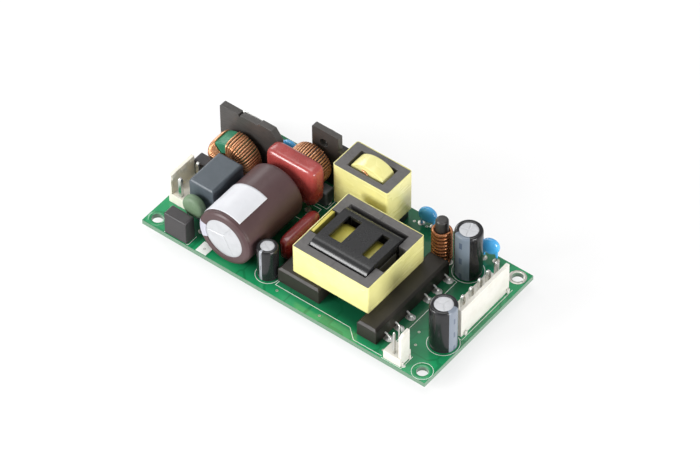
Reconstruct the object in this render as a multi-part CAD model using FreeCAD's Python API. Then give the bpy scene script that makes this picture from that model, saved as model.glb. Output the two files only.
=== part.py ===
"""Open frame power supply on a four by two inch board.

Millimetres, +Z up. The origin is on the underside of the board, at the centre of the four mounting
holes. +X runs from the supply input to the outputs, -Y is the edge towards the viewer.
"""
import FreeCAD, Part
import math
import os

from FreeCAD import Vector

# Board and mounting holes
board_length = 101.6
board_width = 50.8
board_thickness = 1.6
hole_inset = 3.175
mount_hole_diameter = 3.5

# Leads, drilled holes and solder
thin_lead = 0.6
thick_lead = 0.9
drill_clearance = 0.12
solder_height = 1.7
solder_flare = 0.75
solder_sides = 5
part_gap = 0.4
lead_bend = 1.3

# Wire to board headers with a locking wall
row_pitch = 3.96
post_size = 1.14
post_height = 10.4
post_taper = 0.3
post_taper_length = 0.6
post_to_wall = 2.43
header_depth = 7.1
header_base = 3.4
header_end = 1.3
lock_wall = 1.1
lock_wall_height = 10.8
lock_ridge = 0.45
lock_ridge_width = 2.2
lock_ridge_lead = 1.0
lock_ridge_height = 2.4
input_wall_x = -49.35
input_row_y = -9.65
input_places = (0, 2)
input_ways = 3
output_wall_x = 48.6
output_row_y = 5.6
output_ways = 6

# Two way signal header
signal_x = 38.9
signal_y = -22.45
signal_width = 6.0
signal_depth = 5.0
signal_base = 3.2
signal_pitch = 2.54
signal_post = 0.64
signal_post_height = 11.5
signal_wall = 1.0
signal_wall_height = 12.0
signal_wall_width = 4.0

# Fuses
fuse_length = 8.0
fuse_width = 4.0
fuse_height = 8.3
fuse_pitch = 5.08
fuse_chamfer = 0.35
line_fuse_x = -38.6
line_fuse_y = -23.2

# Bulk capacitor, lying along Y
bulk_diameter = 18.0
bulk_length = 25.0
bulk_x = -22.0
bulk_front_y = -23.4
bulk_sleeve = 0.22
bulk_rim = 2.5
bulk_chamfer = 0.7
bulk_shoulder = 1.0
bulk_dish = 0.3
bulk_seal = 1.0
bulk_seal_rim = 1.5
bulk_sides = 36
bulk_pitch = 7.5
label_length = 12.5
label_start = 1.4
label_from_angle = 58.6
label_to_angle = 151.0
label_thickness = 0.1

# Line filter capacitor, thermistor and common mode choke
x_cap_width = 8.9
x_cap_length = 13.8
x_cap_height = 15.4
x_cap_front_y = -15.7
x_cap_pitch = 10.0
x_cap_chamfer = 0.6
x_cap_gap = 0.7
thermistor_diameter = 7.4
thermistor_thickness = 3.6
thermistor_height = 9.0
thermistor_x = -36.8
thermistor_pitch = 5.0
disc_rim = 0.28
disc_face = 0.7
choke_x = -40.3
choke_outer = 12.4
choke_inner = 6.6
choke_width = 6.4
choke_tilt = -12.0
choke_turns = 8
choke_turn_step = 16.2
choke_half_gap = 21.0
wire_diameter = 0.7
ring_sides = 20

# Dipped film capacitors
red_cap_x = -20.4
red_cap_length = 14.8
red_cap_width = 6.2
red_cap_bottom = 2.6
red_cap_top = 19.0
red_cap_radius = 3.6
red_cap_pitch = 10.0
slim_cap_x = -8.3
slim_cap_width = 4.5
slim_cap_front_y = -14.2
slim_cap_length = 16.0
slim_cap_bottom = 0.9
slim_cap_top = 9.0
slim_cap_radius = 1.8
slim_cap_pitch = 10.0
dip_chamfer = 0.9
dip_foot = 0.62
corner_steps = 4

# Second wound ring and the boxed capacitor beside it
ring_x = -21.6
ring_outer = 10.4
ring_inner = 5.4
ring_width = 5.2
ring_height = 7.4
ring_turns = 16
ring_wound_angle = 345.0
ring_gap = 1.5
small_box_x = -13.8
small_box_inset = 2.15
small_box_width = 3.4
small_box_depth = 3.8
small_box_height = 8.6
small_box_pitch = 2.0

# Heat sinks and the packages on their backs
sink_gap = 0.9
input_sink_left = -49.5
input_sink_right = -27.9
input_sink_thickness = 2.2
input_sink_height = 20.1
input_sink_step_x = -35.0
input_sink_step = 0.8
input_sink_corner = 2.5
input_notch_x = -42.3
input_notch = 0.8
switch_sink_left = -23.4
switch_sink_right = -13.8
switch_sink_foot = -12.1
switch_sink_thickness = 1.9
switch_sink_height = 20.2
switch_sink_shoulder = 15.2
sink_hole_diameter = 3.0
sink_tab = 2.0
package_width = 10.0
package_body = 9.0
package_depth = 4.4
package_lift = 3.6
package_tab_height = 6.2
package_tab_thickness = 1.3
package_hole_height = 2.8
package_pitch = 2.54
package_lead = 0.7
package_lead_y = 2.6
switch_package_lift = 5.2
screw_head = 5.2
screw_head_height = 1.8
screw_reach = 1.4
screw_sides = 8
input_package_xs = (-39.2,)
switch_hole_x = -19.1

# Small disc capacitors: x, y, height of the centre, lean in degrees and turn in degrees
disc_diameter = 5.6
disc_thickness = 2.8
disc_pitch = 3.8
disc_places = ((-32.6, 19.4, 4.2, 0.0, 10.0), (15.2, 22.9, 4.2, 16.0, 14.0), (37.4, 23.0, 5.6, -14.0, 16.0))

# Upright electrolytic capacitors: x, y, diameter, height
can_sleeve = 0.2
can_rim = 1.3
can_chamfer = 0.4
can_dish = 0.25
aux_y = -19.7
aux_diameter = 6.1
aux_height = 11.6
front_can = (45.9, -10.3, 8.0, 16.2)
tall_can = (35.1, 15.7, 8.0, 18.0)
small_can_pitch = 2.5
large_can_pitch = 3.5

# Output filter rod with its coil
rod_x = 26.2
rod_y = 15.0
rod_diameter = 3.9
rod_height = 16.3
rod_sides = 10
rod_chamfer = 0.4
coil_groove = 0.35
coil_turns = 8
coil_wire = 1.2
coil_pitch = 1.4
coil_bottom = 0.6

# Boost choke
boost_left = -9.9
boost_right = 9.85
boost_front = 11.0
boost_back = 22.7
boost_base = 4.0
boost_top = 19.0
boost_leg = 3.2
boost_yoke = 2.1
boost_tape = 0.25
boost_crown = 1.3
boost_shoulder = 1.5
boost_gap = 0.8
crown_steps = 8
boost_foot_inset = 0.5
boost_post = 4.6
boost_pin_x = 7.5
boost_pin_y = 3.8

# Main transformer
core_left = -1.2
core_right = 25.8
core_front = -18.5
core_back = 7.3
core_bottom = 5.6
core_top = 15.9
core_tape = 0.25
core_leg = 2.7
core_yoke = 3.0
core_recess_width = 10.4
core_recess_depth = 1.5
core_yoke_drop = 5.0
core_post = 8.4
core_post_margin = 2.2
former_rise = 1.2
former_wall = 1.3
former_edge = 3.0
former_back_gap = 1.0
former_fit = 0.25
slot_front = 5.2
slot_length = 9.7
first_slot = (2.8, 7.4)
second_slot = (14.6, 17.3)
primary_rail_left = -5.3
primary_rail_right = 9.4
primary_rail_front = -20.1
primary_rail_back = 8.4
secondary_rail_left = 24.7
secondary_rail_right = 31.5
secondary_rail_front = -22.4
secondary_rail_back = 11.5
rail_chamfer = 0.7
former_floor = 1.0
secondary_tails = (-18.2, -13.4, -8.2, 0.0, 4.2, 9.4)
tail_reach = 0.9
tail_height = 1.1
primary_pins = (-14.0, -9.0, -4.0, 1.0, 6.0)
primary_pin_x = -3.6

# Surface mounted parts on the underside: x, y, length, width, height, turned
chip_parts = (
    (3.0, -4.0, 5.0, 4.0, 1.5), (2.0, 8.0, 5.0, 4.0, 1.5), (17.5, -9.5, 8.6, 4.0, 1.5),
    (-28.0, -11.0, 4.6, 6.2, 1.4), (38.5, -2.0, 5.0, 6.0, 1.1), (38.5, -11.0, 5.0, 6.0, 1.1),
)
chip_passives = (
    (1.5, -9.0), (5.0, -9.0), (-12.5, -7.0), (2.5, 15.0), (12.5, 10.0), (15.0, -16.0),
    (19.0, -16.0), (23.0, -4.0), (28.0, 1.0), (-33.0, 4.0), (-22.0, 8.8), (41.5, -17.5),
)
passive_length = 2.0
passive_width = 1.25
passive_height = 0.6

board_top = board_thickness
bulk_radius = bulk_diameter / 2 + bulk_sleeve
bulk_z = board_top + bulk_radius + 0.02
bulk_back_y = bulk_front_y + bulk_length
x_cap_right = bulk_x - bulk_radius - x_cap_gap
x_cap_left = x_cap_right - x_cap_width
x_cap_back_y = x_cap_front_y + x_cap_length
input_header_back = input_row_y + row_pitch * (input_ways - 1) / 2 + header_end
neutral_fuse_x = x_cap_left - part_gap - fuse_length / 2
neutral_fuse_y = input_header_back + part_gap + fuse_width / 2
choke_half = choke_width / 2 + wire_diameter
choke_y = neutral_fuse_y + fuse_width / 2 + part_gap + choke_half
choke_z = board_top + choke_outer / 2 + wire_diameter + part_gap
input_sink_y = choke_y + choke_half + sink_gap
thermistor_y = (line_fuse_y + fuse_width / 2 + x_cap_front_y) / 2
red_cap_y = bulk_back_y + lead_bend + thick_lead / 2 + part_gap / 2 + red_cap_width / 2
ring_half = ring_width / 2 + wire_diameter
aux_x = bulk_x + bulk_radius + part_gap + aux_diameter / 2 + can_sleeve
ring_y = red_cap_y + red_cap_width / 2 + ring_gap + ring_half
ring_z = board_top + ring_height
small_box_y = ring_y - small_box_inset
switch_sink_y = ring_y + ring_half + sink_gap

parts = {}
drills = []


def add(name, *solids):
    """Put finished solids into the node of that name."""
    parts.setdefault(name, []).extend(solids)


def block(x0, x1, y0, y1, z0, z1):
    """A box given by its two corners."""
    return Part.makeBox(x1 - x0, y1 - y0, z1 - z0, Vector(x0, y0, z0))


def top_edges(solid, z):
    """The straight edges of a solid that lie in the plane at that height."""
    return [e for e in solid.Edges if abs(e.BoundBox.ZMin - z) < 1e-6 and abs(e.BoundBox.ZMax - z) < 1e-6]


def eased_block(x0, x1, y0, y1, z0, z1, chamfer):
    """A box with its upper edges broken."""
    box = block(x0, x1, y0, y1, z0, z1)
    return box.makeChamfer(chamfer, top_edges(box, z1))


def outline(points, direction):
    """Extrude a closed outline of points along a direction."""
    wire = Part.makePolygon([Vector(*p) for p in points] + [Vector(*points[0])])
    return Part.Face(wire).extrude(Vector(*direction))


def flat_face(points):
    """A plane face with those corners."""
    return Part.Face(Part.makePolygon(points + [points[0]]))


def faceted(profile, sides, hollow=False):
    """Turn (radius, height) corners about Z with flat sides: solid, or a ring if the profile is a loop."""
    half = math.pi / sides
    rings = [
        [Vector(r * math.cos(half * (2 * i + 1)), r * math.sin(half * (2 * i + 1)), z) for i in range(sides)]
        for r, z in profile
    ]
    pairs = list(zip(rings, rings[1:]))
    faces = []
    if hollow:
        pairs.append((rings[-1], rings[0]))
    else:
        faces = [flat_face(rings[0]), flat_face(rings[-1])]
    for low, high in pairs:
        faces += [flat_face([low[i - 1], low[i], high[i], high[i - 1]]) for i in range(sides)]
    shell = Part.makeShell(faces)
    shell.sewShape()
    solid = Part.makeSolid(shell)
    if solid.Volume < 0:
        solid.reverse()
    return solid


def lay_along_y(solid, centre):
    """Lay a body made about Z so that its axis runs along +Y from centre."""
    solid.rotate(Vector(0, 0, 0), Vector(1, 0, 0), -90)
    solid.translate(Vector(*centre))
    return solid


def moved(solid, x, y, z):
    """A copy of a solid moved by a vector."""
    copy = solid.copy()
    copy.translate(Vector(x, y, z))
    return copy


def drill(x, y, size):
    """Note a lead that passes through the board, for its hole and its solder."""
    drills.append((x, y, size))


def straight_lead(x, y, top, size):
    """A square lead from the underside of the board up to the part it carries."""
    drill(x, y, size)
    return block(x - size / 2, x + size / 2, y - size / 2, y + size / 2, 0, top)


def two_leads(x, y, pitch, top, size, along_y=False):
    """The pair of leads of a two terminal part."""
    half = pitch / 2
    places = ((x, y - half), (x, y + half)) if along_y else ((x - half, y), (x + half, y))
    return [straight_lead(px, py, top, size) for px, py in places]


def post(x, y, size, top):
    """A header post with a tapered tip."""
    drill(x, y, size)
    corner = size / math.sqrt(2)
    high = board_top + top
    shape = faceted(((corner, 0), (corner, high - post_taper_length), (corner * (1 - post_taper), high)), 4)
    return moved(shape, x, y, 0)


def header_housing(wall_x, row_y, ways, side):
    """A base with a locking wall on the side (+1 or -1) that faces off the board."""
    half = row_pitch * (ways - 1) / 2 + header_end
    inner = wall_x - side * header_depth
    wall_in = wall_x - side * lock_wall
    base = block(min(inner, wall_x), max(inner, wall_x), row_y - half, row_y + half, board_top, board_top + header_base)
    wall = block(
        min(wall_in, wall_x), max(wall_in, wall_x), row_y - half, row_y + half,
        board_top + header_base, board_top + lock_wall_height,
    )
    housing = base.fuse(wall)
    for way in range(ways):
        y = row_y + (way - (ways - 1) / 2) * row_pitch
        tip = wall_in - side * lock_ridge
        high = board_top + lock_wall_height
        ridge = outline(
            ((wall_in, y - lock_ridge_width / 2, high),
             (tip, y - lock_ridge_width / 2, high - lock_ridge_lead),
             (wall_in, y - lock_ridge_width / 2, high - lock_ridge_height)), (0, lock_ridge_width, 0))
        housing = housing.fuse(ridge)
    return housing.removeSplitter()


def header(name, wall_x, row_y, ways, places, side):
    """A locking header: housing with post holes, and its posts."""
    housing = header_housing(wall_x, row_y, ways, side)
    post_x = wall_x - side * (lock_wall + post_to_wall)
    post_ys = [row_y + (place - (ways - 1) / 2) * row_pitch for place in places]
    cuts = [
        block(post_x - post_size / 2, post_x + post_size / 2, y - post_size / 2, y + post_size / 2,
              board_top, board_top + header_base) for y in post_ys
    ]
    add(name + "_header_housing", housing.cut(Part.makeCompound(cuts)))
    add(name + "_header_posts", *[post(post_x, y, post_size, post_height) for y in post_ys])


def signal_header():
    """Small two way header with a friction wall beside its posts."""
    x0 = signal_x - signal_width / 2
    x1 = signal_x + signal_width / 2
    y0 = signal_y - signal_depth / 2
    y1 = signal_y + signal_depth / 2
    base = block(x0, x1, y0, y1, board_top, board_top + signal_base)
    half = signal_wall_width / 2
    foot = board_top + signal_base
    high = board_top + signal_wall_height
    wall = outline(
        ((x1 - signal_wall, signal_y - half, foot), (x1 - signal_wall, signal_y + half, foot),
         (x1 - signal_wall, signal_y + half, high), (x1 - signal_wall, signal_y - half * 0.3, high),
         (x1 - signal_wall, signal_y - half, high - signal_wall)), (signal_wall, 0, 0))
    ys = (signal_y - signal_pitch / 2, signal_y + signal_pitch / 2)
    cuts = [
        block(signal_x - signal_post / 2, signal_x + signal_post / 2, y - signal_post / 2, y + signal_post / 2,
              board_top, foot) for y in ys
    ]
    add("signal_header_housing", base.fuse(wall).removeSplitter().cut(Part.makeCompound(cuts)))
    add("signal_header_posts", *[post(signal_x, y, signal_post, signal_post_height) for y in ys])


def fuse(name, x, y):
    """A square cased fuse standing on two leads."""
    body = eased_block(
        x - fuse_length / 2, x + fuse_length / 2, y - fuse_width / 2, y + fuse_width / 2,
        board_top, board_top + fuse_height, fuse_chamfer)
    add(name, body)
    add("component_leads", *two_leads(x, y, fuse_pitch, board_top, thin_lead))


def x_capacitor():
    """Boxed line filter capacitor."""
    x = (x_cap_left + x_cap_right) / 2
    y = (x_cap_front_y + x_cap_back_y) / 2
    body = eased_block(
        x_cap_left, x_cap_right, x_cap_front_y, x_cap_back_y, board_top, board_top + x_cap_height, x_cap_chamfer)
    add("x_capacitor", body)
    add("component_leads", *two_leads(x, y, x_cap_pitch, board_top, thin_lead, True))


def lens(diameter, thickness, sides):
    """A coated disc standing on its edge, its axis along Y."""
    rim = thickness * disc_rim
    face = diameter * disc_face / 2
    disc = faceted(
        ((face, 0), (diameter / 2, thickness / 2 - rim), (diameter / 2, thickness / 2 + rim), (face, thickness)),
        sides)
    return lay_along_y(disc, (0, -thickness / 2, 0))


def thermistor():
    """Inrush limiting disc held up on its leads."""
    z = board_top + thermistor_height
    disc = lens(thermistor_diameter, thermistor_thickness, 16)
    disc.translate(Vector(thermistor_x, thermistor_y, z))
    add("inrush_thermistor", disc)
    foot = z - thermistor_diameter / 2 * math.sin(math.acos(thermistor_pitch / thermistor_diameter))
    leads = two_leads(thermistor_x, thermistor_y, thermistor_pitch, foot + thin_lead / 2, thin_lead)
    add("component_leads", *[lead.cut(disc) for lead in leads])


def turn_frame(core_width, inner, outer, angle, centre):
    """One turn of square wire round the section of a standing ring core, at that angle from the top."""
    w = wire_diameter
    half = core_width / 2
    bore = math.sqrt((inner / 2 * math.cos(math.pi / ring_sides)) ** 2 - (w / 2) ** 2)
    loop = block(-w / 2, w / 2, -half - w, half + w, bore - w, outer / 2 + w)
    gap = block(-w / 2, w / 2, -half, half, bore, outer / 2)
    turn = loop.cut(gap)
    turn.rotate(Vector(0, 0, 0), Vector(0, 1, 0), angle)
    turn.translate(Vector(*centre))
    return turn


def ring_core(outer, inner, width, centre):
    """A standing ring core with its axis along Y."""
    a, b, h = inner / 2, outer / 2, width
    core = faceted(((a, 0), (b, 0), (b, h), (a, h)), ring_sides, True)
    return lay_along_y(core, (centre[0], centre[1] - h / 2, centre[2]))


def common_mode_choke():
    """Green ring core with two equal windings, gaps at the top and the bottom."""
    centre = (choke_x, choke_y, choke_z)
    add("choke_core", ring_core(choke_outer, choke_inner, choke_width, centre))
    for name, side in (("choke_line_winding", -1), ("choke_neutral_winding", 1)):
        for step in range(choke_turns):
            angle = choke_tilt + side * (choke_half_gap + step * choke_turn_step)
            add(name, turn_frame(choke_width, choke_inner, choke_outer, angle, centre))
    foot = choke_z - choke_outer / 2 - wire_diameter
    reach = choke_half - wire_diameter / 2
    for sx in (-1, 1):
        x = choke_x + sx * choke_outer / 4
        low = choke_z - math.sqrt((choke_outer / 2) ** 2 - (choke_outer / 4) ** 2) - wire_diameter
        add("component_leads", *two_leads(x, choke_y, reach * 2, min(low, foot + wire_diameter), thin_lead, True))


def wound_ring():
    """Second ring, wound all round with one layer of copper."""
    centre = (ring_x, ring_y, ring_z)
    add("ring_choke_core", ring_core(ring_outer, ring_inner, ring_width, centre))
    for step in range(ring_turns):
        angle = 180.0 + (step + 0.5 - ring_turns / 2) * ring_wound_angle / ring_turns
        add("ring_choke_winding", turn_frame(ring_width, ring_inner, ring_outer, angle, centre))
    top = ring_z - ring_outer / 2 - wire_diameter
    saddle = block(
        ring_x - ring_outer / 3, ring_x + ring_outer / 3, ring_y - ring_half, ring_y + ring_half, board_top, top)
    add("ring_choke_saddle", saddle)
    add("component_leads", *two_leads(ring_x, ring_y, ring_outer / 2, board_top, thin_lead))


def bulk_capacitor():
    """Large electrolytic lying on the board, its vented end towards -Y."""
    r = bulk_diameter / 2
    s = bulk_sleeve
    c = bulk_chamfer
    lip = r - bulk_rim
    seal = r - bulk_seal_rim
    end = bulk_length
    drop = bulk_shoulder
    centre = (bulk_x, bulk_front_y, bulk_z)
    can = faceted((
        (lip, bulk_dish), (lip + bulk_dish, 0), (r - c, 0), (r, c), (r, end - drop), (r - drop, end), (seal, end),
        (seal, end - bulk_seal)), bulk_sides)
    sleeve = faceted((
        (lip + bulk_dish, -s), (r - c, -s), (r + s, c), (r + s, end - drop), (r - drop, end + s), (r - drop, end),
        (r, end - drop), (r, c), (r - c, 0), (lip + bulk_dish, 0)), bulk_sides, True)
    bung = faceted(((seal, end - bulk_seal), (seal, end - s)), bulk_sides)
    add("bulk_capacitor_can", lay_along_y(can, centre))
    add("bulk_capacitor_sleeve", lay_along_y(sleeve, centre))
    add("bulk_capacitor_seal", lay_along_y(bung, centre))
    low, high = label_start, label_start + label_length
    skin = r + s + label_thickness
    wrap = lay_along_y(faceted(((r + s, low), (skin, low), (skin, high), (r + s, high)), bulk_sides, True), centre)
    reach = 2 * r
    middle = (label_from_angle + label_to_angle) / 2
    corners = [(0, 0), (reach, label_from_angle), (2 * reach, middle), (reach, label_to_angle)]
    wedge = outline([
        (bulk_x + d * math.cos(math.radians(a)), bulk_front_y, bulk_z + d * math.sin(math.radians(a)))
        for d, a in corners], (0, bulk_length, 0))
    add("bulk_capacitor_label", wrap.common(wedge))
    for side in (-1, 1):
        x = bulk_x + side * bulk_pitch / 2
        y = bulk_back_y + lead_bend
        drop = straight_lead(x, y, bulk_z + thick_lead / 2, thick_lead)
        out = block(
            x - thick_lead / 2, x + thick_lead / 2, bulk_back_y - s, y,
            bulk_z - thick_lead / 2, bulk_z + thick_lead / 2)
        add("bulk_capacitor_leads", drop.fuse(out).removeSplitter())


def corner_arc(cx, cz, radius, start):
    """Points along a quarter round corner in the XZ plane, from that angle on."""
    steps = [math.radians(start + 90.0 * i / corner_steps) for i in range(corner_steps + 1)]
    return [(cx + radius * math.cos(a), 0, cz + radius * math.sin(a)) for a in steps]


def rounded_plate(length, bottom, top, radius, width):
    """A dipped capacitor's plate: rounded shoulders and a narrower foot."""
    a = length / 2
    foot = a * dip_foot
    points = [(-foot, 0, bottom), (foot, 0, bottom), (a, 0, bottom + radius)]
    points += corner_arc(a - radius, top - radius, radius, 0)
    points += corner_arc(radius - a, top - radius, radius, 90)
    points.append((-a, 0, bottom + radius))
    return outline(points, (0, width, 0))


def dipped_body(length, width, bottom, top, radius):
    """A dipped film capacitor centred on the Y axis, its broad faces towards -Y and +Y."""
    body = rounded_plate(length, bottom, top, radius, width)
    body.translate(Vector(0, -width / 2, 0))
    flat = [e for e in body.Edges if abs(abs(e.BoundBox.YMin) - width / 2) < 1e-6 and e.BoundBox.YLength < 1e-6]
    return body.makeChamfer(dip_chamfer, flat)


def film_capacitors():
    """The large red capacitor behind the bulk one and the slim one beside it."""
    red = dipped_body(
        red_cap_length, red_cap_width, board_top + red_cap_bottom, board_top + red_cap_top, red_cap_radius)
    add("large_film_capacitor", moved(red, red_cap_x, red_cap_y, 0))
    leads = two_leads(red_cap_x, red_cap_y, red_cap_pitch, board_top + red_cap_bottom, thin_lead)
    add("component_leads", *leads)
    slim = dipped_body(
        slim_cap_length, slim_cap_width, board_top + slim_cap_bottom, board_top + slim_cap_top, slim_cap_radius)
    slim.rotate(Vector(0, 0, 0), Vector(0, 0, 1), 90)
    y = slim_cap_front_y + slim_cap_length / 2
    add("slim_film_capacitor", moved(slim, slim_cap_x, y, 0))
    top = board_top + slim_cap_bottom
    add("component_leads", *two_leads(slim_cap_x, y, slim_cap_pitch * 0.8, top, thin_lead, True))


def small_box_capacitor():
    """Boxed capacitor between the wound ring and the boost choke."""
    body = eased_block(
        small_box_x - small_box_width / 2, small_box_x + small_box_width / 2,
        small_box_y - small_box_depth / 2, small_box_y + small_box_depth / 2,
        board_top, board_top + small_box_height, fuse_chamfer)
    add("small_box_capacitor", body)
    add("component_leads", *two_leads(small_box_x, small_box_y, small_box_pitch, board_top, thin_lead))


def disc_capacitors():
    """Small blue discs, leaning as they were fitted."""
    for x, y, height, lean, turn in disc_places:
        disc = lens(disc_diameter, disc_thickness, 12)
        disc.rotate(Vector(0, 0, 0), Vector(0, 1, 0), lean)
        disc.rotate(Vector(0, 0, 0), Vector(0, 0, 1), turn)
        disc.translate(Vector(x, y, board_top + height))
        add("disc_capacitors", disc)
        half = disc_pitch / 2
        for side in (-1, 1):
            px = x + side * half * math.cos(math.radians(turn))
            py = y + side * half * math.sin(math.radians(turn))
            lead = straight_lead(px, py, board_top + height, thin_lead)
            pieces = lead.cut(disc).Solids
            add("component_leads", min(pieces, key=lambda s: s.BoundBox.ZMin))


def upright_can(name, place, pitch, sides):
    """An electrolytic capacitor on end: aluminium can in a shrunk sleeve."""
    x, y, diameter, height = place
    r = diameter / 2
    c = can_chamfer
    s = can_sleeve
    lip = r - can_rim
    can = faceted(((r, 0), (r, height), (lip, height), (lip, height - can_dish)), sides)
    sleeve = faceted((
        (r + s, 0), (r + s, height + s - c), (r + s - c, height + s), (lip, height + s), (lip, height),
        (r, height), (r, 0)), sides, True)
    add(name + "_can", moved(can, x, y, board_top))
    add(name + "_sleeve", moved(sleeve, x, y, board_top))
    add("component_leads", *two_leads(x, y, pitch, board_top, thin_lead))


def heatsink_plate(points, y, thickness):
    """A plate that stands across the board, from its outline of x and height."""
    return outline([(x, y, board_top + h) for x, h in points], (0, thickness, 0))


def package_on_back(x, y, lift):
    """A three lead power package whose metal back lies on a heat sink at y."""
    half = package_width / 2
    z0 = board_top + lift
    z1 = z0 + package_body
    back = y + package_tab_thickness
    hole_z = z1 + package_hole_height
    plate = block(x - half, x + half, y, back, z0, z1 + package_tab_height)
    body = eased_block(x - half, x + half, back, y + package_depth, z0, z1, fuse_chamfer)
    add("package_tabs", plate.cut(screw_hole(x, back, hole_z, package_tab_thickness)))
    add("package_bodies", body)
    for place in (-1, 0, 1):
        add("package_leads", straight_lead(x + place * package_pitch, y + package_lead_y, z0, package_lead))
    shank = sink_hole_diameter / 2 - drill_clearance
    depth = package_tab_thickness + screw_reach
    screw = faceted((
        (shank, 0), (shank, depth), (screw_head / 2, depth), (screw_head / 2, depth + screw_head_height)), screw_sides)
    add("heatsink_screws", lay_along_y(screw, (x, back - depth, hole_z)))
    return hole_z


def screw_hole(x, y, z, depth):
    """A screw's hole with its axis along Y, sunk from the face at y."""
    size = sink_hole_diameter / 2
    return lay_along_y(faceted(((size, 0), (size, depth)), screw_sides), (x, y - depth, z))


def heat_sinks():
    """The two black plates with their packages, screws and board tabs."""
    t = input_sink_thickness
    h = input_sink_height
    left, right, step = input_sink_left, input_sink_right, input_sink_step_x
    plate = heatsink_plate((
        (left, 0), (right, 0), (right, h - input_sink_corner), (right - input_sink_corner, h + input_sink_step),
        (step, h + input_sink_step), (step - input_sink_step, h), (input_notch_x + input_notch / 2, h),
        (input_notch_x, h - input_notch), (input_notch_x - input_notch / 2, h), (left + 0.5, h), (left, h - 0.5)),
        input_sink_y, t)
    back = input_sink_y + t
    for x in input_package_xs:
        z = package_on_back(x, back, package_lift)
        plate = plate.cut(screw_hole(x, back, z, screw_reach + drill_clearance))
    tabs = [
        straight_lead(x, input_sink_y + t / 2, board_top, sink_tab)
        for x in (left + sink_tab * 1.5, right - sink_tab * 1.5)
    ]
    for tab in tabs:
        plate = plate.fuse(tab)
    add("input_heatsink", plate.removeSplitter())
    t = switch_sink_thickness
    left, right, foot = switch_sink_left, switch_sink_right, switch_sink_foot
    plate = heatsink_plate((
        (left, 0), (foot, 0), (foot, switch_sink_shoulder - (foot - right)), (right, switch_sink_shoulder),
        (right, switch_sink_height), (left + 0.4, switch_sink_height), (left, switch_sink_height - 0.4)),
        switch_sink_y, t)
    back = switch_sink_y + t
    z = package_on_back(switch_hole_x, back, switch_package_lift)
    plate = plate.cut(screw_hole(switch_hole_x, back, z, t))
    for x in (left + sink_tab, foot - sink_tab):
        plate = plate.fuse(straight_lead(x, switch_sink_y + t / 2, board_top, sink_tab * 0.9))
    add("switch_heatsink", plate.removeSplitter())


def rod_filter():
    """Ferrite rod standing in an open coil of thick copper wire."""
    r = rod_diameter / 2
    c = rod_chamfer
    rod = faceted(((r, 0), (r, rod_height - c), (r - c, rod_height)), rod_sides)
    add("filter_rod", moved(rod, rod_x, rod_y, board_top))
    wide = r + coil_wire
    waist = r + coil_wire - coil_groove
    profile = []
    for turn in range(coil_turns):
        low = coil_bottom + turn * coil_pitch
        profile += [(waist, low), (wide, low + coil_pitch / 2)]
    top = coil_bottom + coil_turns * coil_pitch
    profile += [(waist, top), (r, top), (r, coil_bottom)]
    add("filter_coil", moved(faceted(profile, rod_sides, True), rod_x, rod_y, board_top))
    reach = r + coil_wire / 2
    for side in (-1, 1):
        add("component_leads", straight_lead(rod_x + side * reach, rod_y, board_top + coil_bottom, thick_lead))


def e_half(x_yoke, x_joint, y0, y1, z0, z1, leg, yoke, post_half, post_top):
    """Half of an E core lying flat, its yoke at x_yoke and its legs meeting the other half at x_joint."""
    inner = x_yoke + yoke if x_joint > x_yoke else x_yoke - yoke
    low, high = min(x_yoke, x_joint), max(x_yoke, x_joint)
    body = block(low, high, y0, y1, z0, z1)
    window_low, window_high = min(inner, x_joint), max(inner, x_joint)
    window = block(window_low, window_high, y0 + leg, y1 - leg, z0, z1)
    middle = (y0 + y1) / 2
    post_bottom = z0 + (z1 - post_top)
    centre = block(window_low, window_high, middle - post_half, middle + post_half, post_bottom, post_top)
    return body.cut(window).fuse(centre).removeSplitter()


def main_transformer():
    """Flat E core set in yellow tape, with the black former that carries windings and pins."""
    x0, x1 = core_left + core_tape, core_right - core_tape
    y0, y1 = core_front + core_tape, core_back - core_tape
    z0, z1 = board_top + core_bottom, board_top + core_top
    joint = (x0 + x1) / 2
    middle = (y0 + y1) / 2
    recess = core_recess_width / 2
    post_top = z1 - core_post_margin
    for name, x_yoke, side in (("transformer_core_left", x0, 1), ("transformer_core_right", x1, -1)):
        half = e_half(x_yoke, joint, y0, y1, z0, z1, core_leg, core_yoke, core_post / 2, post_top)
        outer = x_yoke + side * core_recess_depth
        inner = x_yoke + side * core_yoke
        notch = block(min(x_yoke, outer), max(x_yoke, outer), middle - recess, middle + recess, z0, z1)
        drop = block(min(x_yoke, inner), max(x_yoke, inner), middle - recess, middle + recess, z1 - core_yoke_drop, z1)
        add(name, half.cut(notch).cut(drop))
    band = block(core_left, core_right, core_front, core_back, z0, z1)
    add("transformer_tape", band.cut(block(x0, x1, y0, y1, z0, z1)))
    window_x0, window_x1 = x0 + core_yoke + former_fit, x1 - core_yoke - former_fit
    window_y0, window_y1 = y0 + core_leg + former_fit, y1 - core_leg - former_back_gap
    top = z1 + former_rise
    cover = former_cover(window_x0, window_x1, window_y0, window_y1, z0, top)
    flap = block(
        window_x0 - core_yoke + core_recess_depth, window_x0 + former_wall,
        middle - recess + former_fit, middle + recess - former_fit, post_top, z1)
    slots = [
        block(window_x0 + a, window_x0 + b, window_y0 + slot_front, window_y0 + slot_front + slot_length, z1, top + 1)
        for a, b in (first_slot, second_slot)
    ]
    cover = cover.fuse(flap).removeSplitter().cut(Part.makeCompound(slots))
    add("transformer_former", cover)
    add("transformer_winding", winding_block(window_x0, window_x1, window_y0, window_y1, z0, top))
    transformer_rails(z0)


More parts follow.
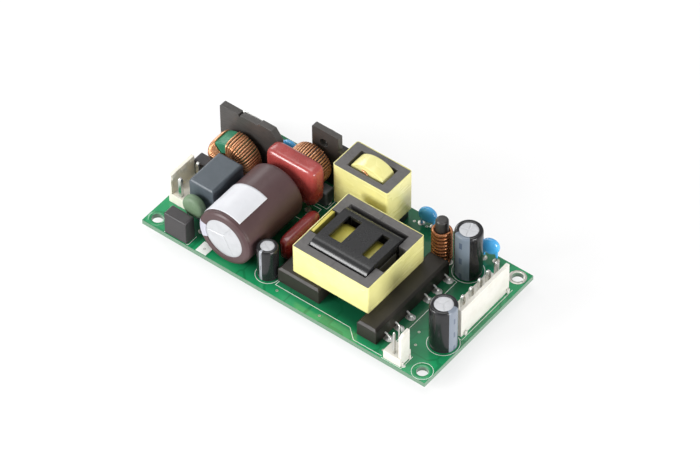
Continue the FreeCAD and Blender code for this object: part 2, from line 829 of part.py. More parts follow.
def arch(x0, x1, y0, y1, z0, top, edge):
    """A bar along X, square below and rounded over its two upper edges."""
    points = [(x0, y0, z0), (x0, y1, z0)]
    steps = [math.radians(90.0 * i / corner_steps) for i in range(corner_steps + 1)]
    points += [(x0, y1 - edge + edge * math.cos(a), top - edge + edge * math.sin(a)) for a in steps]
    points += [(x0, y0 + edge - edge * math.sin(a), top - edge + edge * math.cos(a)) for a in steps]
    return outline(points, (x1 - x0, 0, 0))


def former_cover(x0, x1, y0, y1, z0, top):
    """The former's upper shell over the winding, rounded along its front and back."""
    shell = arch(x0, x1, y0, y1, z0, top, former_edge)
    w = former_wall
    room = arch(x0 + w, x1 - w, y0 + w, y1 - w, z0, top - w, former_edge - w / 2)
    passage = block(x0, x1, core_middle_y() - core_post / 2, core_middle_y() + core_post / 2, z0, post_ceiling())
    return shell.cut(room).cut(passage)


def core_middle_y():
    """Y of the transformer core's centre line."""
    return (core_front + core_back) / 2


def post_ceiling():
    """Height of the top of the transformer core's centre post."""
    return board_top + core_top - core_post_margin


def winding_block(x0, x1, y0, y1, z0, top):
    """Taped winding inside the former, with the passage for the centre post."""
    w = former_wall
    body = arch(x0 + w, x1 - w, y0 + w, y1 - w, z0, top - w, former_edge - w / 2)
    half = core_post / 2
    floor = z0 + core_post_margin
    passage = block(x0, x1, core_middle_y() - half, core_middle_y() + half, floor, post_ceiling())
    return body.cut(passage)


def transformer_rails(z0):
    """Plate under the core with the two pin rails, and the pins."""
    floor = block(
        primary_rail_right, secondary_rail_left, core_front + core_leg, core_back - core_leg, z0 - former_floor, z0)
    left = eased_block(
        primary_rail_left, primary_rail_right, primary_rail_front, primary_rail_back, board_top, z0, rail_chamfer)
    right = eased_block(
        secondary_rail_left, secondary_rail_right, secondary_rail_front, secondary_rail_back,
        board_top, z0, rail_chamfer)
    add("transformer_base", left.fuse(floor).fuse(right).removeSplitter())
    low = board_top + tail_height
    x = secondary_rail_right + tail_reach
    for y in secondary_tails:
        drop = straight_lead(x, y, low + thick_lead, thick_lead)
        out = block(secondary_rail_right, x, y - thick_lead / 2, y + thick_lead / 2, low, low + thick_lead)
        add("magnetics_pins", drop.fuse(out).removeSplitter())
    for y in primary_pins:
        add("magnetics_pins", straight_lead(primary_pin_x, y, board_top, thick_lead))


def boost_choke():
    """Deep E core set lying flat round an arched winding, on a black base."""
    x0, x1 = boost_left + boost_tape, boost_right - boost_tape
    y0, y1 = boost_front + boost_tape, boost_back - boost_tape
    z0, z1 = board_top + boost_base, board_top + boost_top
    joint = (y0 + y1) / 2
    centre_x = (x0 + x1) / 2
    half_post = boost_post / 2
    for name, y_yoke, side in (("boost_core_front", y0, 1), ("boost_core_back", y1, -1)):
        low, high = min(y_yoke, joint), max(y_yoke, joint)
        inner = y_yoke + side * boost_yoke
        window = block(x0 + boost_leg, x1 - boost_leg, min(inner, joint), max(inner, joint), z0, z1)
        middle = block(
            centre_x - half_post, centre_x + half_post, min(inner, joint), max(inner, joint),
            z0 + boost_leg, z1 - boost_leg)
        add(name, block(x0, x1, low, high, z0, z1).cut(window).fuse(middle).removeSplitter())
    band = block(boost_left, boost_right, boost_front, boost_back, z0, z1)
    add("boost_tape", band.cut(block(x0, x1, y0, y1, z0, z1)))
    left, right = x0 + boost_leg + boost_gap, x1 - boost_leg - boost_gap
    crown = z1 + boost_crown
    near, far = y0 + boost_yoke + boost_gap, y1 - boost_yoke - boost_gap
    half = (right - left) / 2
    bend = boost_crown + boost_shoulder
    steps = [math.pi * i / crown_steps for i in range(crown_steps + 1)]
    points = [(left, near, z0), (right, near, z0)]
    points += [(centre_x + half * math.cos(a), near, crown - bend + bend * math.sin(a)) for a in steps]
    winding = outline(points, (0, far - near, 0))
    post_space = block(
        centre_x - half_post, centre_x + half_post, near, far, z0 + boost_leg, z1 - boost_leg)
    add("boost_winding", winding.cut(post_space))
    inset = boost_foot_inset
    add("boost_base", block(x0 + inset, x1 - inset, y0 + inset, y1 - inset, board_top, z0))
    for sx in (-1, 1):
        for sy in (-1, 1):
            add("magnetics_pins", straight_lead(
                centre_x + sx * boost_pin_x, joint + sy * boost_pin_y, board_top, thick_lead))


def surface_parts():
    """Control chips and small passives soldered to the underside."""
    for x, y, length, width, height in chip_parts:
        add("underside_chips", block(
            x - length / 2, x + length / 2, y - width / 2, y + width / 2, -height, 0))
    for x, y in chip_passives:
        add("underside_passives", block(
            x - passive_length / 2, x + passive_length / 2, y - passive_width / 2, y + passive_width / 2,
            -passive_height, 0))


def circuit_board():
    """The board with its mounting holes and a drilled hole for each lead."""
    x, y = board_length / 2, board_width / 2
    board = block(-x, x, -y, y, 0, board_thickness)
    holes = [
        Part.makeCylinder(mount_hole_diameter / 2, board_thickness, Vector(sx * (x - hole_inset), sy * (y - hole_inset), 0))
        for sx in (-1, 1) for sy in (-1, 1)
    ]
    for px, py, size in drills:
        half = size / 2 + drill_clearance
        holes.append(block(px - half, px + half, py - half, py + half, 0, board_thickness))
    add("circuit_board", board.cut(Part.makeCompound(holes)))


def solder_joints():
    """A cone of solder under each lead."""
    for px, py, size in drills:
        wide = size / math.sqrt(2) + drill_clearance * 2 + solder_flare / 2
        tip = size / 2
        cone = faceted(((tip, -solder_height), (wide, 0)), solder_sides)
        add("solder_joints", moved(cone, px, py, 0))


def main():
    """Make every sub-part and write one file for each."""
    header("input", input_wall_x, input_row_y, input_ways, input_places, -1)
    header("output", output_wall_x, output_row_y, output_ways, range(output_ways), 1)
    signal_header()
    fuse("line_fuse", line_fuse_x, line_fuse_y)
    fuse("neutral_fuse", neutral_fuse_x, neutral_fuse_y)
    x_capacitor()
    thermistor()
    common_mode_choke()
    bulk_capacitor()
    film_capacitors()
    wound_ring()
    small_box_capacitor()
    heat_sinks()
    disc_capacitors()
    upright_can("aux_capacitor", (aux_x, aux_y, aux_diameter, aux_height), small_can_pitch, 20)
    upright_can("front_output_capacitor", front_can, large_can_pitch, 24)
    upright_can("tall_output_capacitor", tall_can, large_can_pitch, 24)
    rod_filter()
    main_transformer()
    boost_choke()
    surface_parts()
    circuit_board()
    solder_joints()
    os.makedirs("parts", exist_ok=True)
    for name, solids in parts.items():
        shape = solids[0] if len(solids) == 1 else Part.makeCompound(solids)
        shape.exportStep("parts/%s.step" % name)
        print(name, len(shape.Solids), shape.isValid(), round(shape.Volume, 2))


main()
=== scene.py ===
# %% [markdown]
# # Open frame power supply
#
# The real thing is a bare circuit board, four by two inches, with every part in the open.
# Mains comes in at the left header, passes the fuses and the filter, and is stored in the large brown capacitor.
# The yellow taped transformer in the middle hands it over to the row of output posts on the right.
# This file dresses the measured model: each cell makes one group of parts and prints what it made.

# %% The measured model, and the tools that this file needs
import math
import bmesh
import bpy
import numpy as np
from mathutils import Matrix, Vector


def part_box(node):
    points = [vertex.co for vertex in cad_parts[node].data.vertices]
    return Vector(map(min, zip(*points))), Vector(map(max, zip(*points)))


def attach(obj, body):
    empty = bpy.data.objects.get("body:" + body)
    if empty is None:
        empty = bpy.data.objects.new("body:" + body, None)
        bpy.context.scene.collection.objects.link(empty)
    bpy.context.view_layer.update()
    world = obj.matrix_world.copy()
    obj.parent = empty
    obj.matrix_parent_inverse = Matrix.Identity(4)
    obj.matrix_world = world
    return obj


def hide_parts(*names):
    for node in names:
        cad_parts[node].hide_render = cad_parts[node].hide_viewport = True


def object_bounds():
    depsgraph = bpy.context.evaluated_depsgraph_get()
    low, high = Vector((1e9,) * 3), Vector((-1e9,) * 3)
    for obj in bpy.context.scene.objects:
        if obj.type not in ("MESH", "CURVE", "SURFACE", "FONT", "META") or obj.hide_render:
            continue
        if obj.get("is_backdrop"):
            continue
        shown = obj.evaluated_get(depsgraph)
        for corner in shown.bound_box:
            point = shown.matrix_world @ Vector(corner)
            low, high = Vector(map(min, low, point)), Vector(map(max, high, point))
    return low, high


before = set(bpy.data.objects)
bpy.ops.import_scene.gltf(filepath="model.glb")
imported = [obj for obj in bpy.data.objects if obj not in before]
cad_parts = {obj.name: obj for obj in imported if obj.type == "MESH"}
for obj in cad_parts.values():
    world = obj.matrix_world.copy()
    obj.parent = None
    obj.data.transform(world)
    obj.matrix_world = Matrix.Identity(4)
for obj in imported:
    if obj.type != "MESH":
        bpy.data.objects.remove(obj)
cad_low, cad_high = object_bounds()
print("measured box in mm:", [round(v * 1000, 2) for v in (*cad_low, *cad_high)])

# %% [markdown]
# ## Light, floor and camera
#
# The photograph was taken in a white studio, from the front right and well above the board.
# Its light is broad and comes from the front left, so the front faces are the lightest.
# A low white floor catches the shadow, and the white around is what the glossy parts reflect.

# %% The camera, at the photograph's angle
def studio_camera(azimuth, elevation, roll, place, lens):
    """A camera whose axes come from three turns: azimuth round the board, elevation above it, roll about its sight."""
    a, e, r = (math.radians(v) for v in (azimuth, elevation, roll))
    back = Vector((math.sin(a) * math.cos(e), -math.cos(a) * math.cos(e), math.sin(e)))
    level = Vector((math.cos(a), math.sin(a), 0))
    upright = back.cross(level)
    across = level * math.cos(r) + upright * math.sin(r)
    above = upright * math.cos(r) - level * math.sin(r)
    data = bpy.data.cameras.new("camera")
    data.lens, data.sensor_width = lens, 36
    data.clip_start, data.clip_end = 0.01, 10
    camera = bpy.data.objects.new("camera", data)
    camera.matrix_world = Matrix.Translation(place) @ Matrix((across, above, back)).transposed().to_4x4()
    bpy.context.scene.collection.objects.link(camera)
    bpy.context.scene.camera = camera
    return camera


camera = studio_camera(
    azimuth=38.357, elevation=47.194, roll=-0.583, place=Vector((0.54423, -0.68146, 0.94901)), lens=232.77)
print("camera stands", round(camera.location.length, 2), "m away")

# %% Broad lamps and the white room
def softbox(name, place, size, power):
    """A square lamp at that place, turned to face the board; metres and watts."""
    data = bpy.data.lights.new(name, "AREA")
    data.shape, data.size, data.energy = "SQUARE", size, power
    lamp = bpy.data.objects.new(name, data)
    board_middle = Vector((0, 0, 0.01))
    spin = (Vector(place) - board_middle).to_track_quat("Z", "Y")
    lamp.matrix_world = Matrix.Translation(place) @ spin.to_matrix().to_4x4()
    bpy.context.scene.collection.objects.link(lamp)


softbox("front_left_lamp", (-0.5, -0.8, 0.38), 0.45, 11.5)
softbox("right_lamp", (0.9, -0.2, 0.18), 0.4, 8.5)
softbox("top_lamp", (-0.2, 0.2, 0.9), 0.5, 2.4)
softbox("back_left_lamp", (-0.7, 0.35, 0.45), 0.35, 2.0)
room_light = 0.46
room = bpy.data.worlds.new("white_room")
room.use_nodes = True
room.node_tree.nodes["Background"].inputs["Color"].default_value = (1, 1, 1, 1)
room.node_tree.nodes["Background"].inputs["Strength"].default_value = room_light
bpy.context.scene.world = room
bpy.context.scene.view_settings.view_transform = "Standard"

# %% [markdown]
# ## How the surfaces are made
#
# Most parts here are wound, turned, dipped or drawn, so most are a profile carried along a line.
# Each helper below gives a grid of points in millimetres, and one function joins such grids into a piece.
# Square moulded parts keep their measured mesh, and get the small rounded edges that a mould leaves.

# %% Joining grids of points into a piece
def grid_quads(rows, columns, round_rows, round_columns):
    """Four (row, column) corners for each cell of a grid; a round direction joins its end to its start."""
    i, j = np.meshgrid(np.arange(rows - (not round_rows)), np.arange(columns - (not round_columns)), indexing="ij")
    steps = ((0, 0), (0, 1), (1, 1), (1, 0))
    corners = np.stack([(i + a) % rows * columns + (j + b) % columns for a, b in steps], -1).reshape(-1, 4)
    places = np.stack([np.stack((j + b, i + a), -1) for a, b in steps], -2).reshape(-1, 4, 2)
    return corners, places / (max(columns - (not round_columns), 1), max(rows - (not round_rows), 1))


def skin(points, round_rows=False, round_columns=True, ends=True, up=False):
    """One surface: its points, which directions close on themselves, and whether its first and last rows are capped."""
    return points, round_rows, round_columns, ends and not round_rows, up


def sheet(points, round_rows=False):
    """An open surface that looks up."""
    return skin(points, round_rows, False, False, True)


def outward(points, faces, up):
    """True if the faces look out, or up for a sheet: corner . (next x after next), summed, is the volume."""
    if up:
        a, b, c = (points[faces[:, k]] for k in range(3))
        return np.cross(b - a, c - a)[:, 2].sum() > 0
    middle = points.mean(0)
    a, b, c, d = (points[faces[:, k]] - middle for k in range(4))
    return (a * (np.cross(b, c) + np.cross(c, d))).sum() > 0


def mesh_of(name, skins):
    """All skins in one mesh, in metres, with each grid's u and v as a UV map; a bare grid is a closed tube."""
    vertices, loops, sizes, uvs, start = [], [], [], [], 0
    for points, round_rows, round_columns, ends, up in (s if isinstance(s, tuple) else skin(s) for s in skins):
        rows, columns = points.shape[:2]
        flat = points.reshape(-1, 3)
        quads, places = grid_quads(rows, columns, round_rows, round_columns)
        turn = 1 if outward(flat, quads, up) else -1
        loops.append(quads[:, ::turn].ravel() + start)
        uvs.append(places[:, ::turn].reshape(-1, 2))
        sizes.append(np.full(len(quads), 4))
        if ends:
            for row, order in ((0, -turn), (rows - 1, turn)):
                loops.append(np.arange(columns)[::order] + row * columns + start)
                uvs.append(np.full((columns, 2), 0.5))
                sizes.append(np.array([columns]))
        vertices.append(flat)
        start += len(flat)
    mesh = bpy.data.meshes.new(name)
    points, corners, counts = np.concatenate(vertices), np.concatenate(loops), np.concatenate(sizes)
    mesh.vertices.add(len(points))
    mesh.vertices.foreach_set("co", (points * 0.001).astype(np.float32).ravel())
    mesh.loops.add(len(corners))
    mesh.loops.foreach_set("vertex_index", corners.astype(np.int32))
    mesh.polygons.add(len(counts))
    mesh.polygons.foreach_set("loop_start", (np.cumsum(counts) - counts).astype(np.int32))
    mesh.polygons.foreach_set("use_smooth", np.full(len(counts), True))
    mesh.update(calc_edges=True)
    mesh.uv_layers.new(name="run").data.foreach_set("uv", np.concatenate(uvs).astype(np.float32).ravel())
    return mesh


def piece(name, skins, material, slot, *stands_for, sharp=40):
    """A finished piece: its surfaces, finish and slot, the nodes it stands for, and the angle that stays sharp; the
    slot is not used.
    """
    mesh = skins if isinstance(skins, bpy.types.Mesh) else mesh_of(name, skins)
    mesh.set_sharp_from_angle(angle=math.radians(sharp))
    made = bpy.data.objects.new(name, mesh)
    bpy.context.scene.collection.objects.link(made)
    made.data.materials.append(material)
    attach(made, "root")
    if stands_for:
        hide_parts(*stands_for)
    print(name, len(mesh.polygons), "faces")
    return made


# %% Profiles turned about an axis, and sections carried along a path
def turned(profile, sides, centre, axis="z", start=0.0, shake=None):
    """Each (radius, height) corner goes once round: x = r cos, y = r sin, z = height, or the same laid along Y."""
    profile = np.asarray(profile, float)
    angle = math.radians(start) + np.arange(sides) * 2 * np.pi / sides
    radius, height = profile[:, 0, None], profile[:, 1, None] + 0 * angle
    if shake is not None:
        radius = shake(radius + 0 * angle, angle)
    round_a, round_b = radius * np.cos(angle), radius * np.sin(angle)
    order = (round_a, round_b, height) if axis == "z" else (round_a, height, round_b)
    return np.stack(order, -1) + np.asarray(centre, float)


def softened(points, times=3):
    """Corners cut again and again: each run keeps its middle half, so a bent line becomes a smooth one."""
    points = np.asarray(points, float)
    for _ in range(times):
        before, after = points[:-1], points[1:]
        cut = np.stack((0.75 * before + 0.25 * after, 0.25 * before + 0.75 * after), 1).reshape(-1, points.shape[1])
        points = np.concatenate((points[:1], cut, points[-1:]))
    return points


def profile_eased(corners, cut):
    """Each corner is cut back and bridged by a parabola: (1 - t)^2 before + 2 t (1 - t) corner + t^2 after."""
    corners = np.asarray(corners, float)
    run = np.diff(corners, axis=0)
    length = np.linalg.norm(run, axis=1, keepdims=True)
    step = run / np.maximum(length, 1e-6) * np.minimum(cut, length / 2.2)
    middle = corners[1:-1, None]
    before, after = middle - step[:-1, None], middle + step[1:, None]
    t = np.linspace(0, 1, 5)[None, :, None]
    curves = (1 - t) ** 2 * before + 2 * t * (1 - t) * middle + t ** 2 * after
    return np.concatenate((corners[:1], curves.reshape(-1, 2), corners[-1:]))


def ring_of(radius, sides):
    """A round section, as (across, up) points."""
    angle = np.arange(sides) * 2 * np.pi / sides
    return np.stack((np.cos(angle), np.sin(angle)), -1) * radius


def carried(path, section, side):
    """A section carried along a path: across stays square to the path, as near as it can be to the side direction."""
    path, section = np.asarray(path, float), np.asarray(section, float)
    along = np.gradient(path, axis=0)
    along /= np.linalg.norm(along, axis=1, keepdims=True)
    side = np.asarray(side, float) + 0 * path
    across = side - (side * along).sum(1, keepdims=True) * along
    across /= np.linalg.norm(across, axis=1, keepdims=True)
    upward = np.cross(along, across)
    section = section if section.ndim == 3 else np.broadcast_to(section, (len(path), *section.shape))
    return path[:, None] + across[:, None] * section[..., :1] + upward[:, None] * section[..., 1:]


def rounded_block(low, high, radius, steps=3):
    """A box with rounded edges: a small ball cut into eight, each eighth pushed out to its corner of the box."""
    low, high = np.asarray(low, float), np.asarray(high, float)
    radius = min(radius, (high - low).min() / 2 - 1e-3)
    around = np.concatenate([k * np.pi / 2 + np.linspace(0.02, np.pi / 2 - 0.02, steps + 1) for k in range(4)])
    tilt = np.linspace(0.0, np.pi / 2, steps + 1)
    tilt = np.concatenate((tilt - np.pi / 2, tilt))[:, None]
    top = np.where(np.arange(len(tilt)) <= steps, -1.0, 1.0)[:, None]
    ball = np.stack((np.cos(tilt) * np.cos(around), np.cos(tilt) * np.sin(around), np.sin(tilt) + 0 * around), -1)
    corner = np.stack((
        np.sign(np.cos(around)) + 0 * tilt, np.sign(np.sin(around)) + 0 * tilt, top + 0 * around), -1)
    return (low + high) / 2 + corner * ((high - low) / 2 - radius) + ball * radius


def pillow(centre, half, outline_power, edge_power, rows=28, columns=64, droop=0.0):
    """A dipped body: |x|^p + |z|^p = 1 round it and |r|^q + |y|^q = 1 through it, drawn in below by droop."""
    around = (np.arange(columns) + 0.5) * 2 * np.pi / columns
    through = np.linspace(-np.pi / 2, np.pi / 2, rows)
    reach = np.maximum(np.abs(np.cos(through)) ** (2 / edge_power), 0.02)[:, None]
    x = np.sign(np.cos(around)) * np.abs(np.cos(around)) ** (2 / outline_power)
    z = np.sign(np.sin(around)) * np.abs(np.sin(around)) ** (2 / outline_power)
    y = np.sign(through) * np.abs(np.sin(through)) ** (2 / edge_power)
    below = 1 - droop * np.clip(-z, 0, 1) ** 2
    return np.stack((reach * x * below, y[:, None] * below, reach * z), -1) * half + centre


def turned_by(points, centre, about_y, about_z):
    """Points leaned about Y and then turned about Z, both through that centre, in degrees."""
    spin = Matrix.Rotation(math.radians(about_z), 3, "Z") @ Matrix.Rotation(math.radians(about_y), 3, "Y")
    return (points - centre) @ np.array(spin).T + centre


print("a turned pin is a grid of", turned(((1, 0), (1, 5)), 12, (0, 0, 0)).shape[:2])

# %% Sizes read from the measured nodes
def mm_box(name):
    """Lowest and highest corner of a measured node, in millimetres."""
    low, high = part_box(name)
    return np.array(low) * 1000, np.array(high) * 1000


def corners_of(mesh):
    """All corners of a mesh, in millimetres."""
    corners = np.zeros(len(mesh.vertices) * 3)
    mesh.vertices.foreach_get("co", corners)
    return corners.reshape(-1, 3) * 1000


def loose_bodies(name):
    """Box of each loose body in a node: corners that touch are one, and the lowest label spreads along the edges."""
    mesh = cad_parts[name].data
    ends = np.zeros(len(mesh.edges) * 2, int)
    mesh.edges.foreach_get("vertices", ends)
    places, where = np.unique(np.round(corners_of(mesh), 3), axis=0, return_inverse=True)
    ends = where.ravel()[ends].reshape(-1, 2)
    label, spread = np.full(len(places), -1), np.arange(len(places))
    while (spread != label).any():
        label, spread = spread, spread.copy()
        low = label[ends].min(1)
        np.minimum.at(spread, ends[:, 0], low)
        np.minimum.at(spread, ends[:, 1], low)
    return [(places[label == k].min(0), places[label == k].max(0)) for k in np.unique(label)]


def from_left(name):
    """The same boxes, from the input end to the output end."""
    return sorted(loose_bodies(name), key=lambda box: box[0][0])


print("loose leads found:", len(loose_bodies("component_leads")))

# %% [markdown]
# A measured mesh is many small flat triangles. Joined and made whole, its sharp edges can be rounded like a moulding's.

# %% Measured meshes with rounded edges
def moulded(name, material, slot, edge, steps=2, angle=32):
    """The measured mesh of a node, with its flat faces made whole and every edge sharper than the angle rounded."""
    form = bmesh.new()
    form.from_mesh(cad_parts[name].data)
    bmesh.ops.remove_doubles(form, verts=form.verts, dist=1e-6)
    bmesh.ops.dissolve_limit(form, angle_limit=math.radians(0.5), verts=form.verts, edges=form.edges)
    mesh = bpy.data.meshes.new("finished_" + name)
    form.to_mesh(mesh)
    form.free()
    mesh.polygons.foreach_set("use_smooth", np.ones(len(mesh.polygons), bool))
    made = piece("finished_" + name, mesh, material, slot, name, sharp=30)
    bevel = made.modifiers.new("edges", "BEVEL")
    bevel.width, bevel.segments, bevel.limit_method = edge * 0.001, steps, "ANGLE"
    bevel.angle_limit, bevel.harden_normals = math.radians(angle), True
    bevel.use_clamp_overlap = True
    return made

# %% [markdown]
# ## Finishes
#
# One glance tells these parts apart by finish: glossy dips, satin mouldings, sintered ferrite, bright tin.
# Effects that several finishes share are made once each below, as groups that give a colour, a mask or a normal.
# Everything reads the object's own coordinates, so the grain stays on the part whichever way it is seen.
# The first effect is pigment: in plastic, epoxy and ferrite it is never quite even, so two close colours meet in
# soft clouds.

# %% Nodes by the handful, and uneven pigment
def new_effect(name, inputs, outputs):
    """An empty shader group with those sockets, and the two nodes' sockets inside it."""
    print("effect:", name)
    tree = bpy.data.node_groups.new(name, "ShaderNodeTree")
    kinds = {"f": "NodeSocketFloat", "v": "NodeSocketVector", "c": "NodeSocketColor"}
    for way, sockets in (("INPUT", inputs), ("OUTPUT", outputs)):
        for label, kind in sockets:
            tree.interface.new_socket(name=label, in_out=way, socket_type=kinds[kind])
    return tree, tree.nodes.new("NodeGroupInput").outputs, tree.nodes.new("NodeGroupOutput").inputs


def plug(tree, socket, value):
    """Gives a socket a link or a value."""
    if isinstance(value, bpy.types.NodeSocket):
        tree.links.new(value, socket)
    else:
        socket.default_value = value


def put(tree, kind, settings=None, **plugs):
    """A node with its settings, and a link or value for each socket, by name or as n and its number."""
    made = tree.nodes.new(kind)
    for key, value in (settings or {}).items():
        setattr(made, key, value)
    for key, value in plugs.items():
        plug(tree, made.inputs[int(key[1:]) if key[1:].isdigit() else key.replace("_", " ")], value)
    return made


def mix_colours(tree, mask, first, second):
    """First colour where the mask is 0 and second where it is 1."""
    return put(tree, "ShaderNodeMix", {"data_type": "RGBA"}, n0=mask, n6=first, n7=second).outputs[2]


def between(tree, value, low, high, out_low=0.0, out_high=1.0):
    """Value moved smoothly from one range to another."""
    smooth = {"interpolation_type": "SMOOTHSTEP"}
    return put(tree, "ShaderNodeMapRange", smooth, n0=value, n1=low, n2=high, n3=out_low, n4=out_high).outputs[0]


def sums(tree, operation, first, second=0.0):
    """One step of arithmetic."""
    return put(tree, "ShaderNodeMath", {"operation": operation}, n0=first, n1=second).outputs[0]


def own_place(tree):
    """The object's own coordinates."""
    return put(tree, "ShaderNodeTexCoord").outputs["Object"]


clouds, given, out = new_effect(
    "uneven_pigment", (("Place", "v"), ("Main", "c"), ("Other", "c"), ("Size", "f"), ("Share", "f")),
    (("Colour", "c"),))
noise = put(
    clouds, "ShaderNodeTexNoise", Vector=given["Place"], Scale=given["Size"], Detail=4.0, Roughness=0.6)
share = sums(clouds, "MULTIPLY", between(clouds, noise.outputs["Fac"], 0.36, 0.66), given["Share"])
clouds.links.new(mix_colours(clouds, share, given["Main"], given["Other"]), out["Colour"])

# %% [markdown]
# A mould's spark texture, the pits of sintered powder and the ripple of a dipped coat are all small bumps.
# Tape, rolled sheet and drawn wire carry fine lines in one direction, because they were pulled or rolled:
# there the place is stretched before the noise reads it.

# %% Fine bumps and drawn lines
def bump_effect(name, detail, roughness, stretched):
    """A group that gives a bumped normal, and the height behind it as a mask."""
    inputs = (("Place", "v"), ("Stretch", "v"), ("Size", "f"), ("Height", "f")) if stretched else (
        ("Place", "v"), ("Size", "f"), ("Height", "f"))
    group, given, out = new_effect(name, inputs, (("Normal", "v"), ("Mask", "f")))
    place = given["Place"]
    if stretched:
        place = put(group, "ShaderNodeVectorMath", {"operation": "MULTIPLY"}, n0=place, n1=given["Stretch"]).outputs[0]
    noise = put(group, "ShaderNodeTexNoise", Vector=place, Scale=given["Size"], Detail=detail, Roughness=roughness)
    rise = put(group, "ShaderNodeBump", Height=noise.outputs["Fac"], Strength=given["Height"], Distance=0.0001)
    group.links.new(rise.outputs["Normal"], out["Normal"])
    group.links.new(noise.outputs["Fac"], out["Mask"])
    return group


bumps = bump_effect("fine_bumps", 3.0, 0.55, False)
lines = bump_effect("drawn_lines", 2.0, 0.5, True)

# %% [markdown]
# A finish joins the two: a pigment for the colour, and bumps or drawn lines for the surface.

# %% Making a finish, and those that many parts share
def seen(code):
    """A colour as it is written on a screen, such as 1fa060, turned into light."""
    parts = [int(code[k:k + 2], 16) / 255 for k in (0, 2, 4)]
    return tuple(c / 12.92 if c < 0.04045 else ((c + 0.055) / 1.055) ** 2.4 for c in parts) + (1,)


def finish(name, main, other, rough, spread=0.08, size=300.0, *, grain, height, stretch=None, coat=None, **sockets):
    """Uneven pigment for the colour, bumps or drawn lines for the surface, and roughness that follows them."""
    made = bpy.data.materials.new(name)
    made.use_nodes = True
    tree = made.node_tree
    shader = tree.nodes["Principled BSDF"]
    place = own_place(tree)
    pigment = put(tree, "ShaderNodeGroup", {"node_tree": clouds},
                  Place=place, Main=seen(main), Other=seen(other), Size=size, Share=0.6)
    surface = put(tree, "ShaderNodeGroup", {"node_tree": lines if stretch else bumps},
                  Place=place, Size=grain, Height=height)
    if stretch:
        surface.inputs["Stretch"].default_value = stretch
    tree.links.new(pigment.outputs["Colour"], shader.inputs["Base Color"])
    tree.links.new(surface.outputs["Normal"], shader.inputs["Normal"])
    uneven = between(tree, surface.outputs["Mask"], 0.3, 0.7, rough - spread, rough + spread)
    tree.links.new(uneven, shader.inputs["Roughness"])
    if coat:
        sockets.update(Coat_Weight=coat[0], Coat_Roughness=coat[1])
    for key, value in sockets.items():
        shader.inputs[key.replace("_", " ")].default_value = value
    return made


def recolour(material, mask, code):
    """Lays one more colour over a finish where the mask is 1."""
    tree = material.node_tree
    socket = tree.nodes["Principled BSDF"].inputs["Base Color"]
    tree.links.new(mix_colours(tree, mask, socket.links[0].from_socket, seen(code)), socket)


black_moulding = finish("black_moulding", "202021", "1b1b1c", 0.36, 0.02, grain=400, height=0.01,
                        Specular_IOR_Level=0.4)
ferrite = finish("sintered_ferrite", "5a5857", "4c4a49", 0.5, size=900, grain=5200, height=0.25)
tinned = finish("tinned", "d8d8d4", "bcbcb8", 0.28, stretch=(1, 1, 0.2), grain=1800, height=0.2, Metallic=1.0)
solder = finish("bright_solder", "d2d2d0", "b4b4b2", 0.22, size=700, grain=900, height=0.4, Metallic=1.0)
enamel = finish("enamelled_copper", "d89e74", "b8794c", 0.3, size=400, grain=1500, height=0.05, coat=(0.4, 0.15),
                Metallic=0.7)
bright_can = finish("bare_aluminium", "bfc0c3", "b2b3b6", 0.42, 0.03, grain=1600, height=0.05, Metallic=0.35)
print("finishes:", len(bpy.data.materials))

# %% [markdown]
# ## The floor
#
# It lies just below the solder on the underside, and is white to the camera without any more light on the board.

# %% Floor with the board's shadow
floor_level = cad_low.z * 1000 - 0.6
spots = np.linspace(-1500, 1500, 5)
floor_grid = np.stack((*np.meshgrid(spots, spots, indexing="ij"), np.full((5, 5), floor_level)), -1)
floor_finish = bpy.data.materials.new("studio_floor")
floor_finish.use_nodes = True
tree = floor_finish.node_tree
shader = tree.nodes["Principled BSDF"]
paper = put(tree, "ShaderNodeTexNoise", Vector=own_place(tree), Scale=40.0, Detail=2.0)
white = mix_colours(tree, paper.outputs["Fac"], (0.86, 0.86, 0.86, 1), (0.88, 0.88, 0.88, 1))
tree.links.new(white, shader.inputs["Base Color"])
shader.inputs["Roughness"].default_value = 0.9
rays = put(tree, "ShaderNodeLightPath")
shown = sums(tree, "MAXIMUM", rays.outputs["Is Camera Ray"], rays.outputs["Is Glossy Ray"])
glow = put(tree, "ShaderNodeEmission", Color=(1, 1, 1, 1), Strength=1.0)
glow_share = sums(tree, "MULTIPLY", shown, 0.72)
blend = put(tree, "ShaderNodeMixShader", n0=glow_share, n1=shader.outputs["BSDF"], n2=glow.outputs["Emission"])
tree.links.new(blend.outputs["Shader"], tree.nodes["Material Output"].inputs["Surface"])
floor = bpy.data.objects.new("studio_floor", mesh_of("studio_floor", [sheet(floor_grid)]))
floor.data.materials.append(floor_finish)
bpy.context.scene.collection.objects.link(floor)
floor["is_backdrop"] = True
print("floor at", round(floor_level, 2), "mm")

# %% [markdown]
# ## The board
#
# Glass fibre laminate under a glossy green solder mask. Near its ends and front edge, where the board lies open to the
# light, the green is painted lighter: painted light and painted reflection of the white room.
# It would be etched, masked, printed in white and then drilled.
# Here the measured board keeps its holes and gets that surface.

# %% Solder mask over copper
mask_finish = finish("solder_mask", "186543", "145b3b", 0.2, 0.03, size=90, grain=1600, height=0.06, coat=(0.6, 0.06))
tree = mask_finish.node_tree
place = own_place(tree)
where = put(tree, "ShaderNodeSeparateXYZ", Vector=place).outputs
# Painted light: the green is lighter near the board's ends and front edge, where it lies open to the lamps and the
# white room.
near_ends = between(tree, sums(tree, "ABSOLUTE", where["X"]), 0.034, 0.049)
near_front = between(tree, sums(tree, "MULTIPLY", where["Y"], -1.0), 0.0185, 0.0245)
open_board_painted_light = sums(tree, "MULTIPLY", sums(tree, "MAXIMUM", near_ends, near_front), 0.8)
recolour(mask_finish, open_board_painted_light, "1f9a60")
nearest, second = (
    put(tree, "ShaderNodeTexVoronoi", {"feature": feature, "distance": "CHEBYCHEV"}, Vector=place, Scale=95.0)
    for feature in ("F1", "F2"))
gap = sums(tree, "SUBTRACT", second.outputs["Distance"], nearest.outputs["Distance"])
recolour(mask_finish, between(tree, gap, 0.06, 0.03, 0.0, 0.4), "0c5934")
